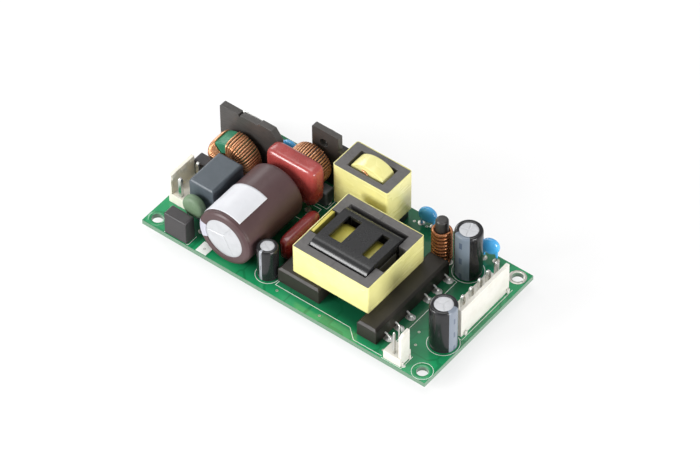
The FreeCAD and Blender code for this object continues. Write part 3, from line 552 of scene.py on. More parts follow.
ups = put(tree, "ShaderNodeSeparateXYZ", Vector=put(tree, "ShaderNodeNewGeometry").outputs["Normal"]).outputs["Z"]
recolour(mask_finish, sums(tree, "LESS_THAN", sums(tree, "ABSOLUTE", ups), 0.5), "557a60")
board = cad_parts["circuit_board"]
board.data.materials.clear()
board.data.materials.append(mask_finish)
board_top = 1.6
print("board", [round(v, 2) for v in mm_box("circuit_board")[1]])

# %% [markdown]
# White print shows where each part goes. It is a film of ink a few hundredths of a millimetre thick.
# A strip with a width follows each line, and round parts get a ring.

# %% White outlines
white_ink = finish("white_ink", "eef1ec", "dde3dc", 0.5, grain=5000, height=0.2)


def painted_line(points, width, closed=False):
    """Half the width to each side, mitred: the mitre is the sum of both squares over its share along one of them."""
    points = np.asarray(points, float)
    run = np.diff(np.concatenate((points, points[:1])) if closed else points, axis=0)
    run /= np.linalg.norm(run, axis=1, keepdims=True)
    square = np.stack((-run[:, 1], run[:, 0]), -1)
    before = np.roll(square, 1, 0) if closed else np.concatenate((square[:1], square))
    after = square if closed else np.concatenate((square, square[-1:]))
    mitre = (before + after) / ((before + after) * after).sum(1, keepdims=True)
    across = np.array([-0.5, -0.35, 0.35, 0.5])[:, None] * width
    flat = points[:, None] + mitre[:, None] * across
    high = np.broadcast_to(np.array([0.004, 0.02, 0.02, 0.004]) + board_top, flat.shape[:2])
    return sheet(np.concatenate((flat, high[..., None]), -1), closed)


def round_line(x, y, radius, width):
    """A painted circle."""
    angle = np.radians(np.linspace(0, 360, 73)[:-1])
    return painted_line(np.stack((x + radius * np.cos(angle), y + radius * np.sin(angle)), -1), width, True)


def can_middle(name):
    """Where an upright can stands on the board, and its radius."""
    low, high = mm_box(name)
    return (low[0] + high[0]) / 2, (low[1] + high[1]) / 2, (high[0] - low[0]) / 2


prints = []
for can in ("aux_capacitor_sleeve", "front_output_capacitor_sleeve", "tall_output_capacitor_sleeve"):
    x, y, radius = can_middle(can)
    prints.append(round_line(x, y, radius + 0.55, 0.17))
prints += [painted_line(points, width) for width, *points in (
    (0.16, (-4.8, -19.3), (-4.9, -21.7), (21.7, -21.6), (25.3, -24.7), (35.2, -24.6)),
    (0.16, (35.1, -19.6), (35.1, 10.3), (29.0, 10.5)),
    (0.15, (49.35, -6.2), (49.35, 17.5)),
    (0.15, (41.0, -6.4), (49.35, -6.4)),
    (0.18, (-12.6, 5.2), (-12.6, 9.0), (-16.6, 9.0)),
    (0.18, (-17.2, 10.1), (-11.4, 10.1), (-11.4, 15.2)),
    (0.18, (-31.6, 2.4), (-12.0, 2.4), (-12.0, 4.1)),
    (0.15, (-42.9, -25.0), (-34.2, -25.0), (-34.2, -21.0)),
    (0.15, (35.4, -25.1), (42.3, -25.1), (42.3, -19.6)),
    (3.7, (-29.45, -25.2), (-29.45, -21.0)))]
prints += [round_line(47.6, -22.2, 3.1, 0.13), round_line(42.4, -23.9, 0.27, 0.5)]
piece("white_outlines", prints, white_ink, "board")

# %% [markdown]
# Every lead has a tinned ring of copper round its hole, on both faces. The mounting holes have wider ones.

# %% Tinned rings and vias
def tinned_ring(x, y, inner, outer, height=board_top, upward=1, sides=28):
    """A flat ring with a slight swell where the tin has drawn itself up."""
    swell, edge = 0.035 * upward, 0.002 * upward
    profile = (
        (inner, edge), (inner + 0.05, swell), ((inner + outer) / 2, swell * 1.25), (outer - 0.05, swell), (outer, edge))
    return skin(turned(profile, sides, (x, y, height)), ends=False)


hole_x, hole_y, hole_radius = 47.625, 22.225, 1.75
drilled = [(*((low + high) / 2)[:2], (high[0] - low[0]) / 2) for low, high in loose_bodies("solder_joints")]
rings = [tinned_ring(x, y, 0.3, max(radius + 0.12, 0.7)) for x, y, radius in drilled]
rings += [tinned_ring(x, y, 0.3, radius + 0.25, 0.0, -1) for x, y, radius in drilled]
rings.append(tinned_ring(hole_x, hole_y, hole_radius, 2.7, sides=48))
rings += [tinned_ring(sx * hole_x, sy * hole_y, hole_radius, 2.9, 0.0, -1, 48) for sx in (-1, 1) for sy in (-1, 1)]
rings += [tinned_ring(x, y, 0.16, 0.42) for x, y in (
    (11.3, 21.7), (15.45, 22.2), (-15.2, 7.05), (38.1, -11.2), (-29.4, -23.3), (12.2, -23.4), (-3.2, -23.2),
    (40.2, -15.6), (34.2, -22.6))]
dull_tin = finish("dull_tin", "c3c2ba", "a5a399", 0.38, size=800, grain=1400, height=0.3, Metallic=0.8)
piece("tinned_rings", rings, dull_tin, "board")

# %% [markdown]
# Round the left and front holes the mask lies over a copper ring, so the ring shows as paler green.

# %% Covered rings round the mounting holes
pale_mask = finish("mask_over_ring", "1b8652", "177a49", 0.22, 0.03, size=120, grain=1600, height=0.1,
                   coat=(0.25, 0.03))
covered = [tinned_ring(x * hole_x, y * hole_y, hole_radius, 2.95, sides=48) for x, y in ((-1, -1), (1, -1), (-1, 1))]
piece("covered_rings", covered, pale_mask, "board")

# %% [markdown]
# ## Headers
#
# Cream nylon mouldings with square tinned posts. A wall with small catches holds the plug.
# They come out of a mould with rounded edges, so the measured mesh gets the same.

# %% Header mouldings and posts
def nylon_finish(name, main, other):
    """Nylon is slightly clear, so light spreads under its surface."""
    return finish(name, main, other, 0.42, grain=2500, height=0.06,
                  Subsurface_Weight=0.3, Subsurface_Scale=0.002, Subsurface_Radius=(1.0, 0.95, 0.85))


nylon = nylon_finish("cream_nylon", "cfcdc6", "c4c1b8")
# The input header's nylon is a lighter copy of the cream nylon: painted light, because that header stands in shade.
input_nylon_painted_light = nylon_finish("input_nylon_painted_light", "e9e4d6", "dfdacb")
for name, material in (("input", input_nylon_painted_light), ("output", nylon), ("signal", nylon)):
    moulded(name + "_header_housing", material, "cream_plastic", 0.18, 3)
for name in ("input", "output", "signal"):
    moulded(name + "_header_posts", tinned, "tin", 0.09, 2, 20)


def foot(x, y, out, half, tall, edge):
    """A small block at the root of a header's wall."""
    return rounded_block((x - 0.1, y - half, board_top), (x + out, y + half, board_top + tall), edge)


low, high = mm_box("output_header_housing")
feet = [foot(high[0], y, 0.65, 0.5, 1.5, 0.15) for y in (low[1] + 1.6, high[1] - 0.9)]
low, high = mm_box("signal_header_housing")
feet += [foot(high[0], y, 0.45, 0.35, 1.6, 0.12) for y in (low[1] + 0.8, high[1] - 0.8)]
piece("header_feet", feet, nylon, "cream_plastic")

# %% [markdown]
# ## Capacitors in sleeves
#
# Each is an aluminium can, rolled shut over a rubber seal and slipped into a tube of film that shrinks when heated.
# The can's flat end is pressed with lines that open first if it fails. The sleeve's stripe marks the negative side.

# %% Sleeve with its stripe
stripes, given, out = new_effect(
    "sleeve_stripe", (("Round", "f"), ("Along", "f"), ("Middle", "f"), ("Half", "f"), ("Pitch", "f")),
    (("Stripe", "f"), ("Bars", "f")))
aside = sums(stripes, "ABSOLUTE", sums(stripes, "SUBTRACT", given["Round"], given["Middle"]))
share = sums(stripes, "DIVIDE", aside, given["Half"])
stripes.links.new(between(stripes, share, 1.02, 0.98), out["Stripe"])
step = sums(stripes, "FRACT", sums(stripes, "DIVIDE", given["Along"], given["Pitch"]))
in_step = between(stripes, sums(stripes, "ABSOLUTE", sums(stripes, "SUBTRACT", step, 0.5)), 0.2, 0.18)
stripes.links.new(sums(stripes, "MULTIPLY", in_step, between(stripes, share, 0.2, 0.17)), out["Bars"])


def sleeve_finish(name, main, other, stripe, bar, axis, half, pitch, rough=0.2, coat=0.2):
    """Shrunk film: a pigment, a stripe along the side opposite the seam, and a bar now and then in the stripe."""
    made = finish(name, main, other, rough, 0.02, size=160, grain=500, height=0.03, coat=(coat, 0.08),
                  Specular_IOR_Level=0.35)
    tree = made.node_tree
    run = put(tree, "ShaderNodeUVMap", {"uv_map": "run"}).outputs["UV"]
    around = put(tree, "ShaderNodeSeparateXYZ", Vector=run).outputs["X"]
    along = put(tree, "ShaderNodeSeparateXYZ", Vector=own_place(tree)).outputs[axis]
    marks = put(tree, "ShaderNodeGroup", {"node_tree": stripes},
                Round=around, Along=along, Middle=0.5, Half=half, Pitch=pitch)
    recolour(made, marks.outputs["Stripe"], stripe)
    recolour(made, marks.outputs["Bars"], bar)
    return made


# %% [markdown]
# The vent lines are pressed into the can's end. Their depth is taken off the disc where a point lies near a line, and
# the lines are coloured darker as painted shade.

# %% Pressed ends
def pressed_end(radius, level, centre, arms, width, depth, dish, axis="z", rows=44, columns=144, face=1, hub=0.0):
    """A disc, and each point's pressed share, exp(-(distance to the nearest arm / width)^2); arms start at (0, hub)."""
    angle = np.arange(columns) * 2 * np.pi / columns
    reach = np.linspace(0.02, 1.0, rows)[:, None] * radius
    x, y = reach * np.cos(angle), reach * np.sin(angle)
    near = np.full_like(x, 1e3)
    for turn, length in arms:
        a = math.radians(turn)
        along = np.clip(x * math.cos(a) + (y - hub) * math.sin(a), 0, length * radius)
        near = np.minimum(near, np.hypot(x - along * math.cos(a), y - hub - along * math.sin(a)))
    pressed = np.exp(-(near / width) ** 2)
    height = -depth * pressed - dish * (1 - np.clip((reach / radius - 0.8) / 0.2, 0, 1) ** 2)
    height = level + face * height
    order = (x, y, height) if axis == "z" else (x, height, y)
    return np.stack(order, -1) + np.asarray(centre, float), pressed


def can_piece(name, end, others, node):
    """A can whose pressed end comes first in the mesh, with the pressed share kept for the finish to paint shade in the
    grooves.
    """
    points, pressed = end
    made = piece(name, [points, *others], bright_can, "aluminium", node, sharp=50)
    share = np.zeros(len(made.data.vertices), np.float32)
    share[:pressed.size] = pressed.ravel()
    made.data.attributes.new("pressed", "FLOAT", "POINT").data.foreach_set("value", share)


# Painted shade: the vent grooves are coloured darker where the pressed share is high.
vent_painted_shade = put(bright_can.node_tree, "ShaderNodeAttribute", {"attribute_name": "pressed"}).outputs["Fac"]
recolour(bright_can, vent_painted_shade, "505154")
print("vents darken", bright_can.name)

# %% [markdown]
# The large brown capacitor stores the rectified mains. It lies down, because upright it would be the tallest part.
# Its sleeve folds over the rim at the front, and leaves the vented end bare.

# %% Bulk capacitor
low, high = mm_box("bulk_capacitor_sleeve")
bulk = np.array([(low[0] + high[0]) / 2, low[1] + 0.22, (low[2] + high[2]) / 2])
bulk_radius, bulk_window = 9.22, 6.62
fold = profile_eased((
    (6.5, 0.02), (bulk_window, -0.16), (8.35, -0.2), (9.14, 0.42), (9.05, 0.72), (9.2, 1.3), (bulk_radius, 4.0),
    (bulk_radius, 22.4), (9.2, 24.0), (8.75, 24.75), (8.0, 25.15), (7.4, 25.2), (7.4, 25.0), (8.5, 24.2),
    (8.95, 23.0), (8.95, 1.0), (8.2, 0.05), (6.5, 0.02)), 0.35)[:-1]
brown_film = sleeve_finish("brown_sleeve", "4d393a", "463334", "aeaeb8", "aeaeb8", "Y", 0.056, 0.0042, 0.42, 0.03)
sleeve = skin(turned(fold, 160, bulk, "y", start=4.0), True)
piece("bulk_sleeve", [sleeve], brown_film, "brown_sleeve", "bulk_capacitor_sleeve", sharp=60)
arms = ((57, 0.72), (187, 0.88), (297, 1.02))
vented = pressed_end(bulk_window, 0.12, bulk, arms, 0.17, 0.5, -0.1, "y", rows=90, columns=300, face=-1, hub=1.2)
rear = turned(profile_eased(((7.9, 24.7), (7.9, 24.95), (7.2, 24.9), (7.0, 24.4), (1.4, 24.4)), 0.2), 96, bulk, "y")
wall = skin(turned(((6.6, 0.1), (8.2, 0.1), (8.9, 0.9), (8.9, 23.0), (7.9, 24.75)), 96, bulk, "y"), ends=False)
can_piece("bulk_can", vented, [wall, rear], "bulk_capacitor_can")
rubber = finish("rubber_seal", "2c2b2a", "232221", 0.62, grain=3000, height=0.4)
bung = turned(profile_eased(((7.35, 24.3), (7.35, 24.75), (6.9, 24.85), (2.0, 24.9)), 0.15), 72, bulk, "y")
piece("bulk_seal", [bung], rubber, "seal", "bulk_capacitor_seal")

# %% [markdown]
# Its two leads leave the rubber, turn down at once and go through the board.

# %% Bulk capacitor leads
leads = []
for low, high in loose_bodies("bulk_capacitor_leads"):
    x, y = (low[0] + high[0]) / 2, high[1] - 0.45
    bend = softened([
        (x, bulk[1] + 24.6, bulk[2]), (x, high[1] - 0.75, bulk[2]), (x, y, bulk[2] - 0.3), (x, y, 1.0), (x, y, -1.5)])
    leads.append(carried(bend, ring_of(0.43, 14), (1, 0, 0)))
piece("bulk_leads", leads, tinned, "tin", "bulk_capacitor_leads")

# %% [markdown]
# A white label is wrapped over the top. Paper on a round can lifts a little at its corners.

# %% Label
label_paper = finish("label_paper", "cbccd0", "c2c3c7", 0.45, size=150, grain=3200, height=0.05)
angle = np.radians(np.linspace(58.6, 151.0, 64))
along = np.linspace(1.4, 13.9, 26)[:, None]
edge = np.abs(np.linspace(-1, 1, 64)) ** 12 + np.abs(np.linspace(-1, 1, 26))[:, None] ** 12
lift = bulk_radius + 0.03 + 0.05 * np.minimum(edge, 1.2)
label = np.stack((lift * np.cos(angle), along + 0 * lift, lift * np.sin(angle)), -1) + bulk
paper = piece("bulk_label", [sheet(label)], label_paper, "white_label", "bulk_capacitor_label")
thickness = paper.modifiers.new("paper", "SOLIDIFY")
thickness.thickness, thickness.offset = 0.00006, 1.0

# %% [markdown]
# Three small ones stand upright. Their sleeve folds over the rim and leaves a round window on the bare top.

# %% Upright capacitors
def upright(name, tone, stripe, half, pitch, stripe_turn, window, arms, trim=0.0):
    """One can on end: folded sleeve, pressed top and a swell at the board; trim lowers it to fit the photograph."""
    x, y, radius = can_middle(name + "_sleeve")
    tall = mm_box(name + "_sleeve")[1][2] - board_top - trim
    profile = profile_eased((
        (radius - 0.3, 0.25), (radius - 0.06, 0.12), (radius - 0.02, 0.5), (radius - 0.05, 1.1), (radius, 1.7),
        (radius, tall - 0.75), (radius - 0.22, tall - 0.18), (radius - 0.75, tall), (window + 0.05, tall - 0.05),
        (window, tall - 0.3), (radius - 0.75, tall - 0.3), (radius - 0.35, tall - 0.9), (radius - 0.3, 0.25)), 0.22)
    centre = (x, y, board_top)
    film = sleeve_finish(*tone, *stripe, "Z", half, pitch)
    sleeve = skin(turned(profile[:-1], 112, centre, start=stripe_turn + 180), True)
    piece(name + "_film", [sleeve], film, "black_sleeve", name + "_sleeve", sharp=60)
    end = pressed_end(window + 0.08, tall - 0.22, centre, [(a, arms[1]) for a in arms[0]], 0.14, 0.2, -0.06)
    body = turned((
        (radius - 0.5, 0.2), (radius - 0.34, 0.4), (radius - 0.34, tall - 0.9), (radius - 0.8, tall - 0.34),
        (window - 0.1, tall - 0.3)), 96, centre)
    can_piece(name + "_top", end, [body], name + "_can")


upright("tall_output_capacitor", ("black_sleeve_grey_stripe", "1b1b1d", "171719"), ("68727d", "4b5666"), 0.105, 0.0062,
        -88, 2.75, ((20, 110, 200, 290), 0.8), 0.9)
upright("front_output_capacitor", ("black_sleeve_pale_stripe", "1d1d1f", "19191b"), ("777f8a", "5a6474"), 0.07, 0.0055,
        -6, 2.75, ((75, 195, 315), 0.85))
upright("aux_capacitor", ("black_sleeve_white_stripe", "1b1b1d", "171719"), ("8d9096", "1b1b1d"), 0.022, 0.0045,
        -92, 2.0, ((60, 150, 240, 330), 0.8))

# %% [markdown]
# ## Leads and solder
#
# Round tinned wire goes through each hole and is clipped just past the solder.
# Molten solder climbs the wire, so each joint is a hollow cone: r = tip + (foot - tip) * t^2.2, t being 1 at the board.

# %% Leads
def standing_lead(low, high, radius):
    """A round wire from below the board up to the part, its clipped end a little pinched."""
    profile = ((radius * 0.7, -1.62), (radius, -1.4), (radius, high[2] - 0.1), (radius * 0.8, high[2]))
    return turned(profile, 12, (*((low + high) / 2)[:2], 0))


wires = [standing_lead(low, high, (high - low)[0] / 2) for low, high in loose_bodies("component_leads")]
piece("component_wires", wires, tinned, "tin", "component_leads")

# %% Solder cones on the underside
def solder_cone(x, y, foot, tip):
    """A cone whose side is hollow, because its radius falls faster than its height grows."""
    t, tall = np.linspace(1, 0, 9), 1.6
    radius, height = tip + (foot - tip) * t ** 2.2, -tall * (1 - t)
    return turned(np.stack((np.append(radius, tip * 0.55), np.append(height, -tall * 1.04)), -1), 18, (x, y, 0))


cones = [solder_cone(x, y, radius, max(radius - 0.62, 0.28)) for x, y, radius in drilled]
piece("solder_cones", cones, solder, "solder", "solder_joints")

# %% [markdown]
# ## Mains filter
#
# Two fuses in square cases, a boxed capacitor across the line, a disc that limits the first rush of current,
# and a coated ring wound with the live wire on one side and the neutral wire on the other.

# %% Cased parts
fuse_case = finish("fuse_case", "302d2e", "282627", 0.40, 0.04, grain=3800, height=0.1)
grey_case = finish("grey_case", "4a5259", "434b51", 0.42, grain=4200, height=0.1)
dark_case = finish("dark_case", "3a3737", "343232", 0.26, 0.03, grain=600, height=0.05)
box_case = finish("small_box_case", "55575a", "4b4d50", 0.35, grain=900, height=0.1)
case_feet = []
for name, material, slot, edge in (
        ("line_fuse", fuse_case, "black_plastic", 0.3), ("neutral_fuse", fuse_case, "black_plastic", 0.3),
        ("x_capacitor", grey_case, "grey_plastic", 0.35)):
    moulded(name, material, slot, edge, 3)
    low, high = mm_box(name)
    for x in (low[0] + 0.5, high[0] - 1.1):
        for y in (low[1] + 0.5, high[1] - 1.1):
            case_feet.append(rounded_block((x, y, board_top - 0.02), (x + 0.6, y + 0.6, board_top + 0.3), 0.1))
low, high = mm_box("small_box_capacitor")
box_tall = 5.2
small_box = rounded_block(low, (high[0], high[1], low[2] + box_tall), 0.4, 4)
piece("small_box", [small_box], box_case, "dark_box", "small_box_capacitor")
piece("case_feet", case_feet, dark_case, "dark_box")

# %% [markdown]
# The disc is pressed powder dipped in a dull coat, which runs a little way down both leads.

# %% Dipped discs
def dipped_disc(low, high, half, lean, turn, pitch, edge, run):
    """A dipped disc, and the two drips that its coat leaves on the leads: circles that shrink down the wire."""
    middle = (low + high) / 2
    made = [turned_by(pillow(middle, half, 2.0, edge), middle, lean, turn)]
    for side in (-1, 1):
        lead = middle[:2] + np.array([math.cos(math.radians(turn)), math.sin(math.radians(turn))]) * side * pitch / 2
        top = middle[2] - half[2] * math.sqrt(max(1 - (pitch / 2 / half[0]) ** 2, 0.05)) + 0.7
        drop = np.linspace(0, 1, 9)[:, None]
        across = lead + (middle[:2] - lead) * 0.25 * (1 - drop) ** 2
        path = np.concatenate((across, top - drop * (run + 0.7)), 1)
        wide = 0.36 + (half[1] * 0.55 - 0.36) * (1 - drop) ** 1.5
        made.append(carried(path, ring_of(1.0, 16)[None] * wide[:, None], (1, 0, 0)))
    return made


grey_green = finish("dull_disc_coat", "687f63", "566c52", 0.5, size=420, grain=1500, height=0.3)
disc = dipped_disc(*mm_box("inrush_thermistor"), (3.72, 1.85, 3.72), 0, 0, 5.0, 2.8, 1.6)
piece("inrush_disc", disc, grey_green, "grey_green_coat", "inrush_thermistor", sharp=60)

# %% [markdown]
# ## Wound rings
#
# The wire is one length that goes round the ring's section while it creeps along the ring.
# Where turns crowd in the bore, every other one rides on its neighbours, so the bore shows two layers and the rim one.
# Such a ring is wound with a shuttle and not on a lathe, and each turn sits a little differently.

# %% Coated ring and its two windings
def ring_body(centre, bore, rim, width, sides=120):
    """A ring of rectangular section with rounded edges, turned about an axis along Y."""
    half = width / 2
    corners = ((bore, 0), (bore, -half), (rim, -half), (rim, half), (bore, half), (bore, 0))
    return skin(turned(profile_eased(corners, 0.5)[:-1], sides, centre, "y"), True)


def wound_wire(centre, bore, rim, width, wire, turns, first, last, seed):
    """|a|^4.5 + |b|^4.5 = 1 round the section while the ring angle grows; alternate turns lie deeper in the bore."""
    samples, power, crowd = 36, 2 / 4.5, 0.5
    s = np.linspace(0, turns * 2 * np.pi, turns * samples + 1)
    uneven = np.interp(s, np.arange(turns + 1) * 2 * np.pi, np.random.default_rng(seed).normal(0, 1, turns + 1))
    angle = np.radians(first + (last - first) * (s / s[-1] + 0.14 * uneven / turns))
    a = -np.sign(np.cos(s)) * np.abs(np.cos(s)) ** power
    b = np.sign(np.sin(s)) * np.abs(np.sin(s)) ** power
    in_bore = np.clip(np.cos(s), 0, 1) ** 0.7
    reach = (rim - bore) / 2 + wire / 2 + crowd * in_bore * (0.5 - 0.5 * np.cos(s / 2)) + 0.03 * uneven
    radius = (rim + bore) / 2 + a * reach
    path = np.stack((radius * np.sin(angle), b * (width / 2 + wire / 2 + 0.02), radius * np.cos(angle)), -1) + centre
    side = np.stack((np.cos(angle), 0 * angle, -np.sin(angle)), -1)
    return carried(path, ring_of(wire / 2, 10), side)


low, high = mm_box("choke_core")
choke = (low + high) / 2 + (-0.1, 0, 0.75)
bore, rim, width = 3.3, 7.2, 6.4
green_coat = finish("green_ring_coat", "2f7f5c", "216049", 0.40, grain=2200, height=0.35)
piece("choke_ring", [ring_body(choke, bore, rim, width)], green_coat, "green_core", "choke_core", sharp=60)
for name, first, last, seed in (("choke_line_winding", -40.0, -163.0, 3), ("choke_neutral_winding", -6.0, 128.0, 4)):
    wire = wound_wire(choke, bore, rim, width, 0.62, 21, first, last, seed)
    piece("finished_" + name, [wire], enamel, "copper", name, sharp=80)

# %% [markdown]
# The second ring is bare ferrite with copper nearly all the way round, and stands in a black cradle.

# %% Fully wound ring
low, high = mm_box("ring_choke_core")
ring = (low + high) / 2 + (0.2, 0, 1.0)
bore, rim, width = 2.7, 6.1, 5.2
piece("ring_body", [ring_body(ring, bore, rim, width, 96)], ferrite, "ferrite", "ring_choke_core", sharp=60)
wire = wound_wire(ring, bore, rim, width, 0.56, 44, 190.0, 530.0, 5)
piece("ring_winding", [wire], enamel, "copper", "ring_choke_winding", sharp=80)
moulded("ring_choke_saddle", black_moulding, "black_plastic", 0.25)

# %% [markdown]
# ## Dipped film capacitors
#
# Flat wound foil dipped in epoxy. The dip gives them full, pillow-like faces and tight, shiny edges.
# The large one ends well above the board, and its dip runs down both leads.

# %% Red dips
red_dip = finish("red_dip", "9c403d", "87322f", 0.3, size=160, grain=420, height=0.3, coat=(0.4, 0.12))
low, high = mm_box("large_film_capacitor")
middle, half = (low + high) / 2, (high - low) / 2
dips = [pillow(middle + (0.3, 0.2, 1.0), half + (1.5, 0.1, -0.85), 8.0, 4.6, 40, 128, 0.06)]
run = np.array(((0.1, -0.3), (0.42, -0.28), (0.5, 0.8), (0.95, 1.9), (1.0, 3.0), (0.1, 3.0)))
dips += [turned(run + (0, low[2]), 24, (middle[0] + side * 5, middle[1], 0)) for side in (-1, 1)]
piece("large_film_dip", dips, red_dip, "red_dip", "large_film_capacitor", sharp=80)
dark_red_dip = finish("dark_red_dip", "7f2624", "691d1c", 0.24, size=160, grain=420, height=0.35, coat=(0.6, 0.06))
low, high = mm_box("slim_film_capacitor")
middle, half = (low + high) / 2, (high - low) / 2
slim_dip = pillow(middle, (half[1], half[0] + 0.1, half[2] + 0.1), 6.5, 3.0, 40, 128, 0.06)
piece("slim_film_dip", [turned_by(slim_dip, middle, 0, 90)], dark_red_dip, "red_dip", "slim_film_capacitor", sharp=80)

# %% Blue discs
blue_dip = finish("blue_dip", "50ade6", "3f98d2", 0.15, size=260, grain=500, height=0.3, coat=(0.5, 0.05))
discs = []
for (low, high), lean, turn in zip(from_left("disc_capacitors"), (0, 16, -14), (10, 14, 16)):
    discs += dipped_disc(low, high, (2.85, 1.45, 2.85), lean, turn, 3.8, 2.3, 1.9)
piece("blue_discs", discs, blue_dip, "blue_dip", "disc_capacitors", sharp=80)

# %% [markdown]
# ## Heat sinks
#
# Two sawn and black anodised plates, notched along the top, each with a power package screwed to its back.
# The screw is a pan head with a six-sided recess, and its thread ends inside the plate.
# Packages and screws sit a little lower than measured, so that nothing stands out above the plates.

# %% Plates, packages and screws
anodised = finish("black_anodised", "484543", "3e3c3a", 0.46, stretch=(0.15, 1, 1), grain=2600, height=0.1,
                  Metallic=0.3)
screw_drop, hole_reach = 1.6, 2.2
screw_shape = (
    (0.1, -2.0), (1.0, -2.0), (1.3, -1.6), (1.3, 0.0), (2.4, 0.0), (2.4, 0.4), (2.15, 0.85), (1.7, 1.2), (1.25, 1.3),
    (1.05, 1.28), (0.95, 0.8), (0.1, 0.75))
recess = np.array([0.0] * 9 + [1.0, 1.0, 0.0])[:, None]


def six_sided(radius, angle):
    """Draws the recess in six times round: r (1 - 0.14 cos 6a)."""
    return radius * (1 - 0.14 * recess * np.cos(6 * angle))


packages, tabs, heads = [], [], []
backs = zip(*(from_left(name) for name in ("heatsink_screws", "package_bodies", "package_tabs")))
for (sink, drop), (screw_box, body, tab) in zip((("input_heatsink", 1.2), ("switch_heatsink", 3.4)), backs):
    plate = moulded(sink, anodised, "black_anodised", 0.22)
    screw = (screw_box[0] + screw_box[1]) / 2
    corners = corners_of(plate.data)
    in_hole = np.hypot(corners[:, 0] - screw[0], corners[:, 2] - screw[2]) < hole_reach
    corners[in_hole, 2] -= screw_drop
    plate.data.vertices.foreach_set("co", (corners * 0.001).ravel())
    packages.append(rounded_block(body[0] - (0, 0, drop), body[1] - (0, 0, drop), 0.3))
    top = min(tab[1][2], mm_box(sink)[1][2] - 2.0)
    tabs.append(rounded_block(tab[0] + (0.7, 0, -drop), (tab[1][0] - 0.7, tab[1][1], top), 0.15))
    place = (screw[0], screw_box[1][1] - 1.8, screw[2] - screw_drop)
    heads.append(turned(screw_shape, 48, place, "y", shake=six_sided))
piece("finished_package_bodies", packages, black_moulding, "black_plastic", "package_bodies")
piece("finished_package_tabs", tabs, tinned, "tin", "package_tabs")
moulded("package_leads", tinned, "tin", 0.08, 2, 20)
piece("pan_head_screws", heads, tinned, "tin", "heatsink_screws", sharp=30)

# %% [markdown]
# ## Output filter
#
# Eight turns of thick copper, wound on a mandrel and slipped over a ferrite rod.
# A helix: the radius stays and the height grows by one pitch a turn. Its lower end turns down into the board.

# %% Rod and coil
low, high = mm_box("filter_rod")
rod = np.array([(low[0] + high[0]) / 2, (low[1] + high[1]) / 2, board_top])
rod_high = high[2] - board_top
rod_shape = profile_eased((
    (1.95, 0.0), (1.95, rod_high - 2.6), (1.9, rod_high - 0.5), (1.45, rod_high), (0.05, rod_high)), 0.35)
rod_ferrite = finish("dark_rod", "363534", "2e2d2c", 0.42, size=900, grain=2600, height=0.12)
piece("ferrite_rod", [turned(rod_shape, 48, rod)], rod_ferrite, "ferrite", "filter_rod", sharp=50)
turns, pitch, wire, reach = 8, 1.38, 1.12, 2.6
s = np.linspace(0, turns * 2 * np.pi, turns * 48 + 1)
helix = np.stack((reach * np.cos(s), reach * np.sin(s), 1.15 + pitch * s / (2 * np.pi)), -1) + rod
down = rod + np.array([[reach, -0.5, 0.5], [reach, -0.9, -0.4], [reach, -0.9, -1.6]])
coil_path = np.concatenate((softened(down)[::-1], helix))
thick_copper = finish("thick_enamelled_copper", "ab6d43", "8f5632", 0.28, size=400, grain=1500, height=0.05,
                      coat=(0.4, 0.15), Metallic=0.75)
coil = carried(coil_path, ring_of(wire / 2, 16), (0, 0, 1))
piece("output_coil", [coil], thick_copper, "copper", "filter_coil", sharp=80)

# %% [markdown]
# ## Transformer and boost choke
#
# Two E shaped ferrite halves meet round a black former that carries the windings. Yellow film tape holds them together.
# The ferrite is ground flat where the halves meet, so a hair line shows across the top.

# %% Ferrite cores
for name in ("transformer_core_left", "transformer_core_right", "boost_core_front", "boost_core_back"):
    moulded(name, ferrite, "ferrite", 0.14)

# %% Tape round a core
def tape_band(name, corner, lap):
    """Film wound round a core: a box's outline with rounded corners, one layer thicker between the two lap shares."""
    low, high = mm_box(name)
    count, half = 12, (high - low)[:2] / 2 - corner
    turn = np.concatenate([np.radians(90 * k + np.linspace(0, 90, count)) for k in range(4)])
    signs = np.repeat(((1, 1), (-1, 1), (-1, -1), (1, -1)), count, 0)
    flat = signs * half + np.stack((np.cos(turn), np.sin(turn)), -1) * corner
    way = np.concatenate(((0,), np.cumsum(np.linalg.norm(np.roll(flat, -1, 0) - flat, axis=1))))
    s = np.linspace(0, way[-1], 361)[:-1]
    closed = np.concatenate((flat, flat[:1]))
    line = np.stack((np.interp(s, way, closed[:, 0]), np.interp(s, way, closed[:, 1])), -1)
    edge = np.roll(line, -1, 0) - np.roll(line, 1, 0)
    edge /= np.linalg.norm(edge, axis=1, keepdims=True)
    square = np.stack((edge[:, 1], -edge[:, 0]), -1)
    share = s / way[-1]
    layer = 0.07 * np.clip((share - lap[0]) / 0.002, 0, 1) * np.clip((lap[1] - share) / 0.002, 0, 1)
    section = np.array((
        (0.0, low[2] + 0.03), (0.0, high[2] - 0.03), (-0.06, high[2]),
        (-0.22, high[2]), (-0.22, low[2]), (-0.06, low[2])))
    shift = section[:, 0] + layer[:, None] * np.array((1.0, 1.0, 1.0, 0.0, 0.0, 1.0))
    points = line[:, None] + ((low + high) / 2)[:2] + square[:, None] * shift[..., None]
    height = np.broadcast_to(section[:, 1], shift.shape)
    return skin(np.concatenate((points, height[..., None]), -1), True)


film_tape = finish("yellow_film_tape", "dfd994", "d6cf84", 0.26, 0.03, size=120, stretch=(0.25, 0.25, 1.0),
                   grain=400, height=0.03, coat=(0.35, 0.12))
for name, corner, lap in (("transformer", 0.5, (0.35, 0.44)), ("boost", 0.8, (0.02, 0.1))):
    piece(name + "_band", [tape_band(name + "_tape", corner, lap)], film_tape, "yellow_tape", name + "_tape", sharp=35)

# %% [markdown]
# The former's cover is a thin moulded shell with a rolled front edge and two windows that show the taped winding.

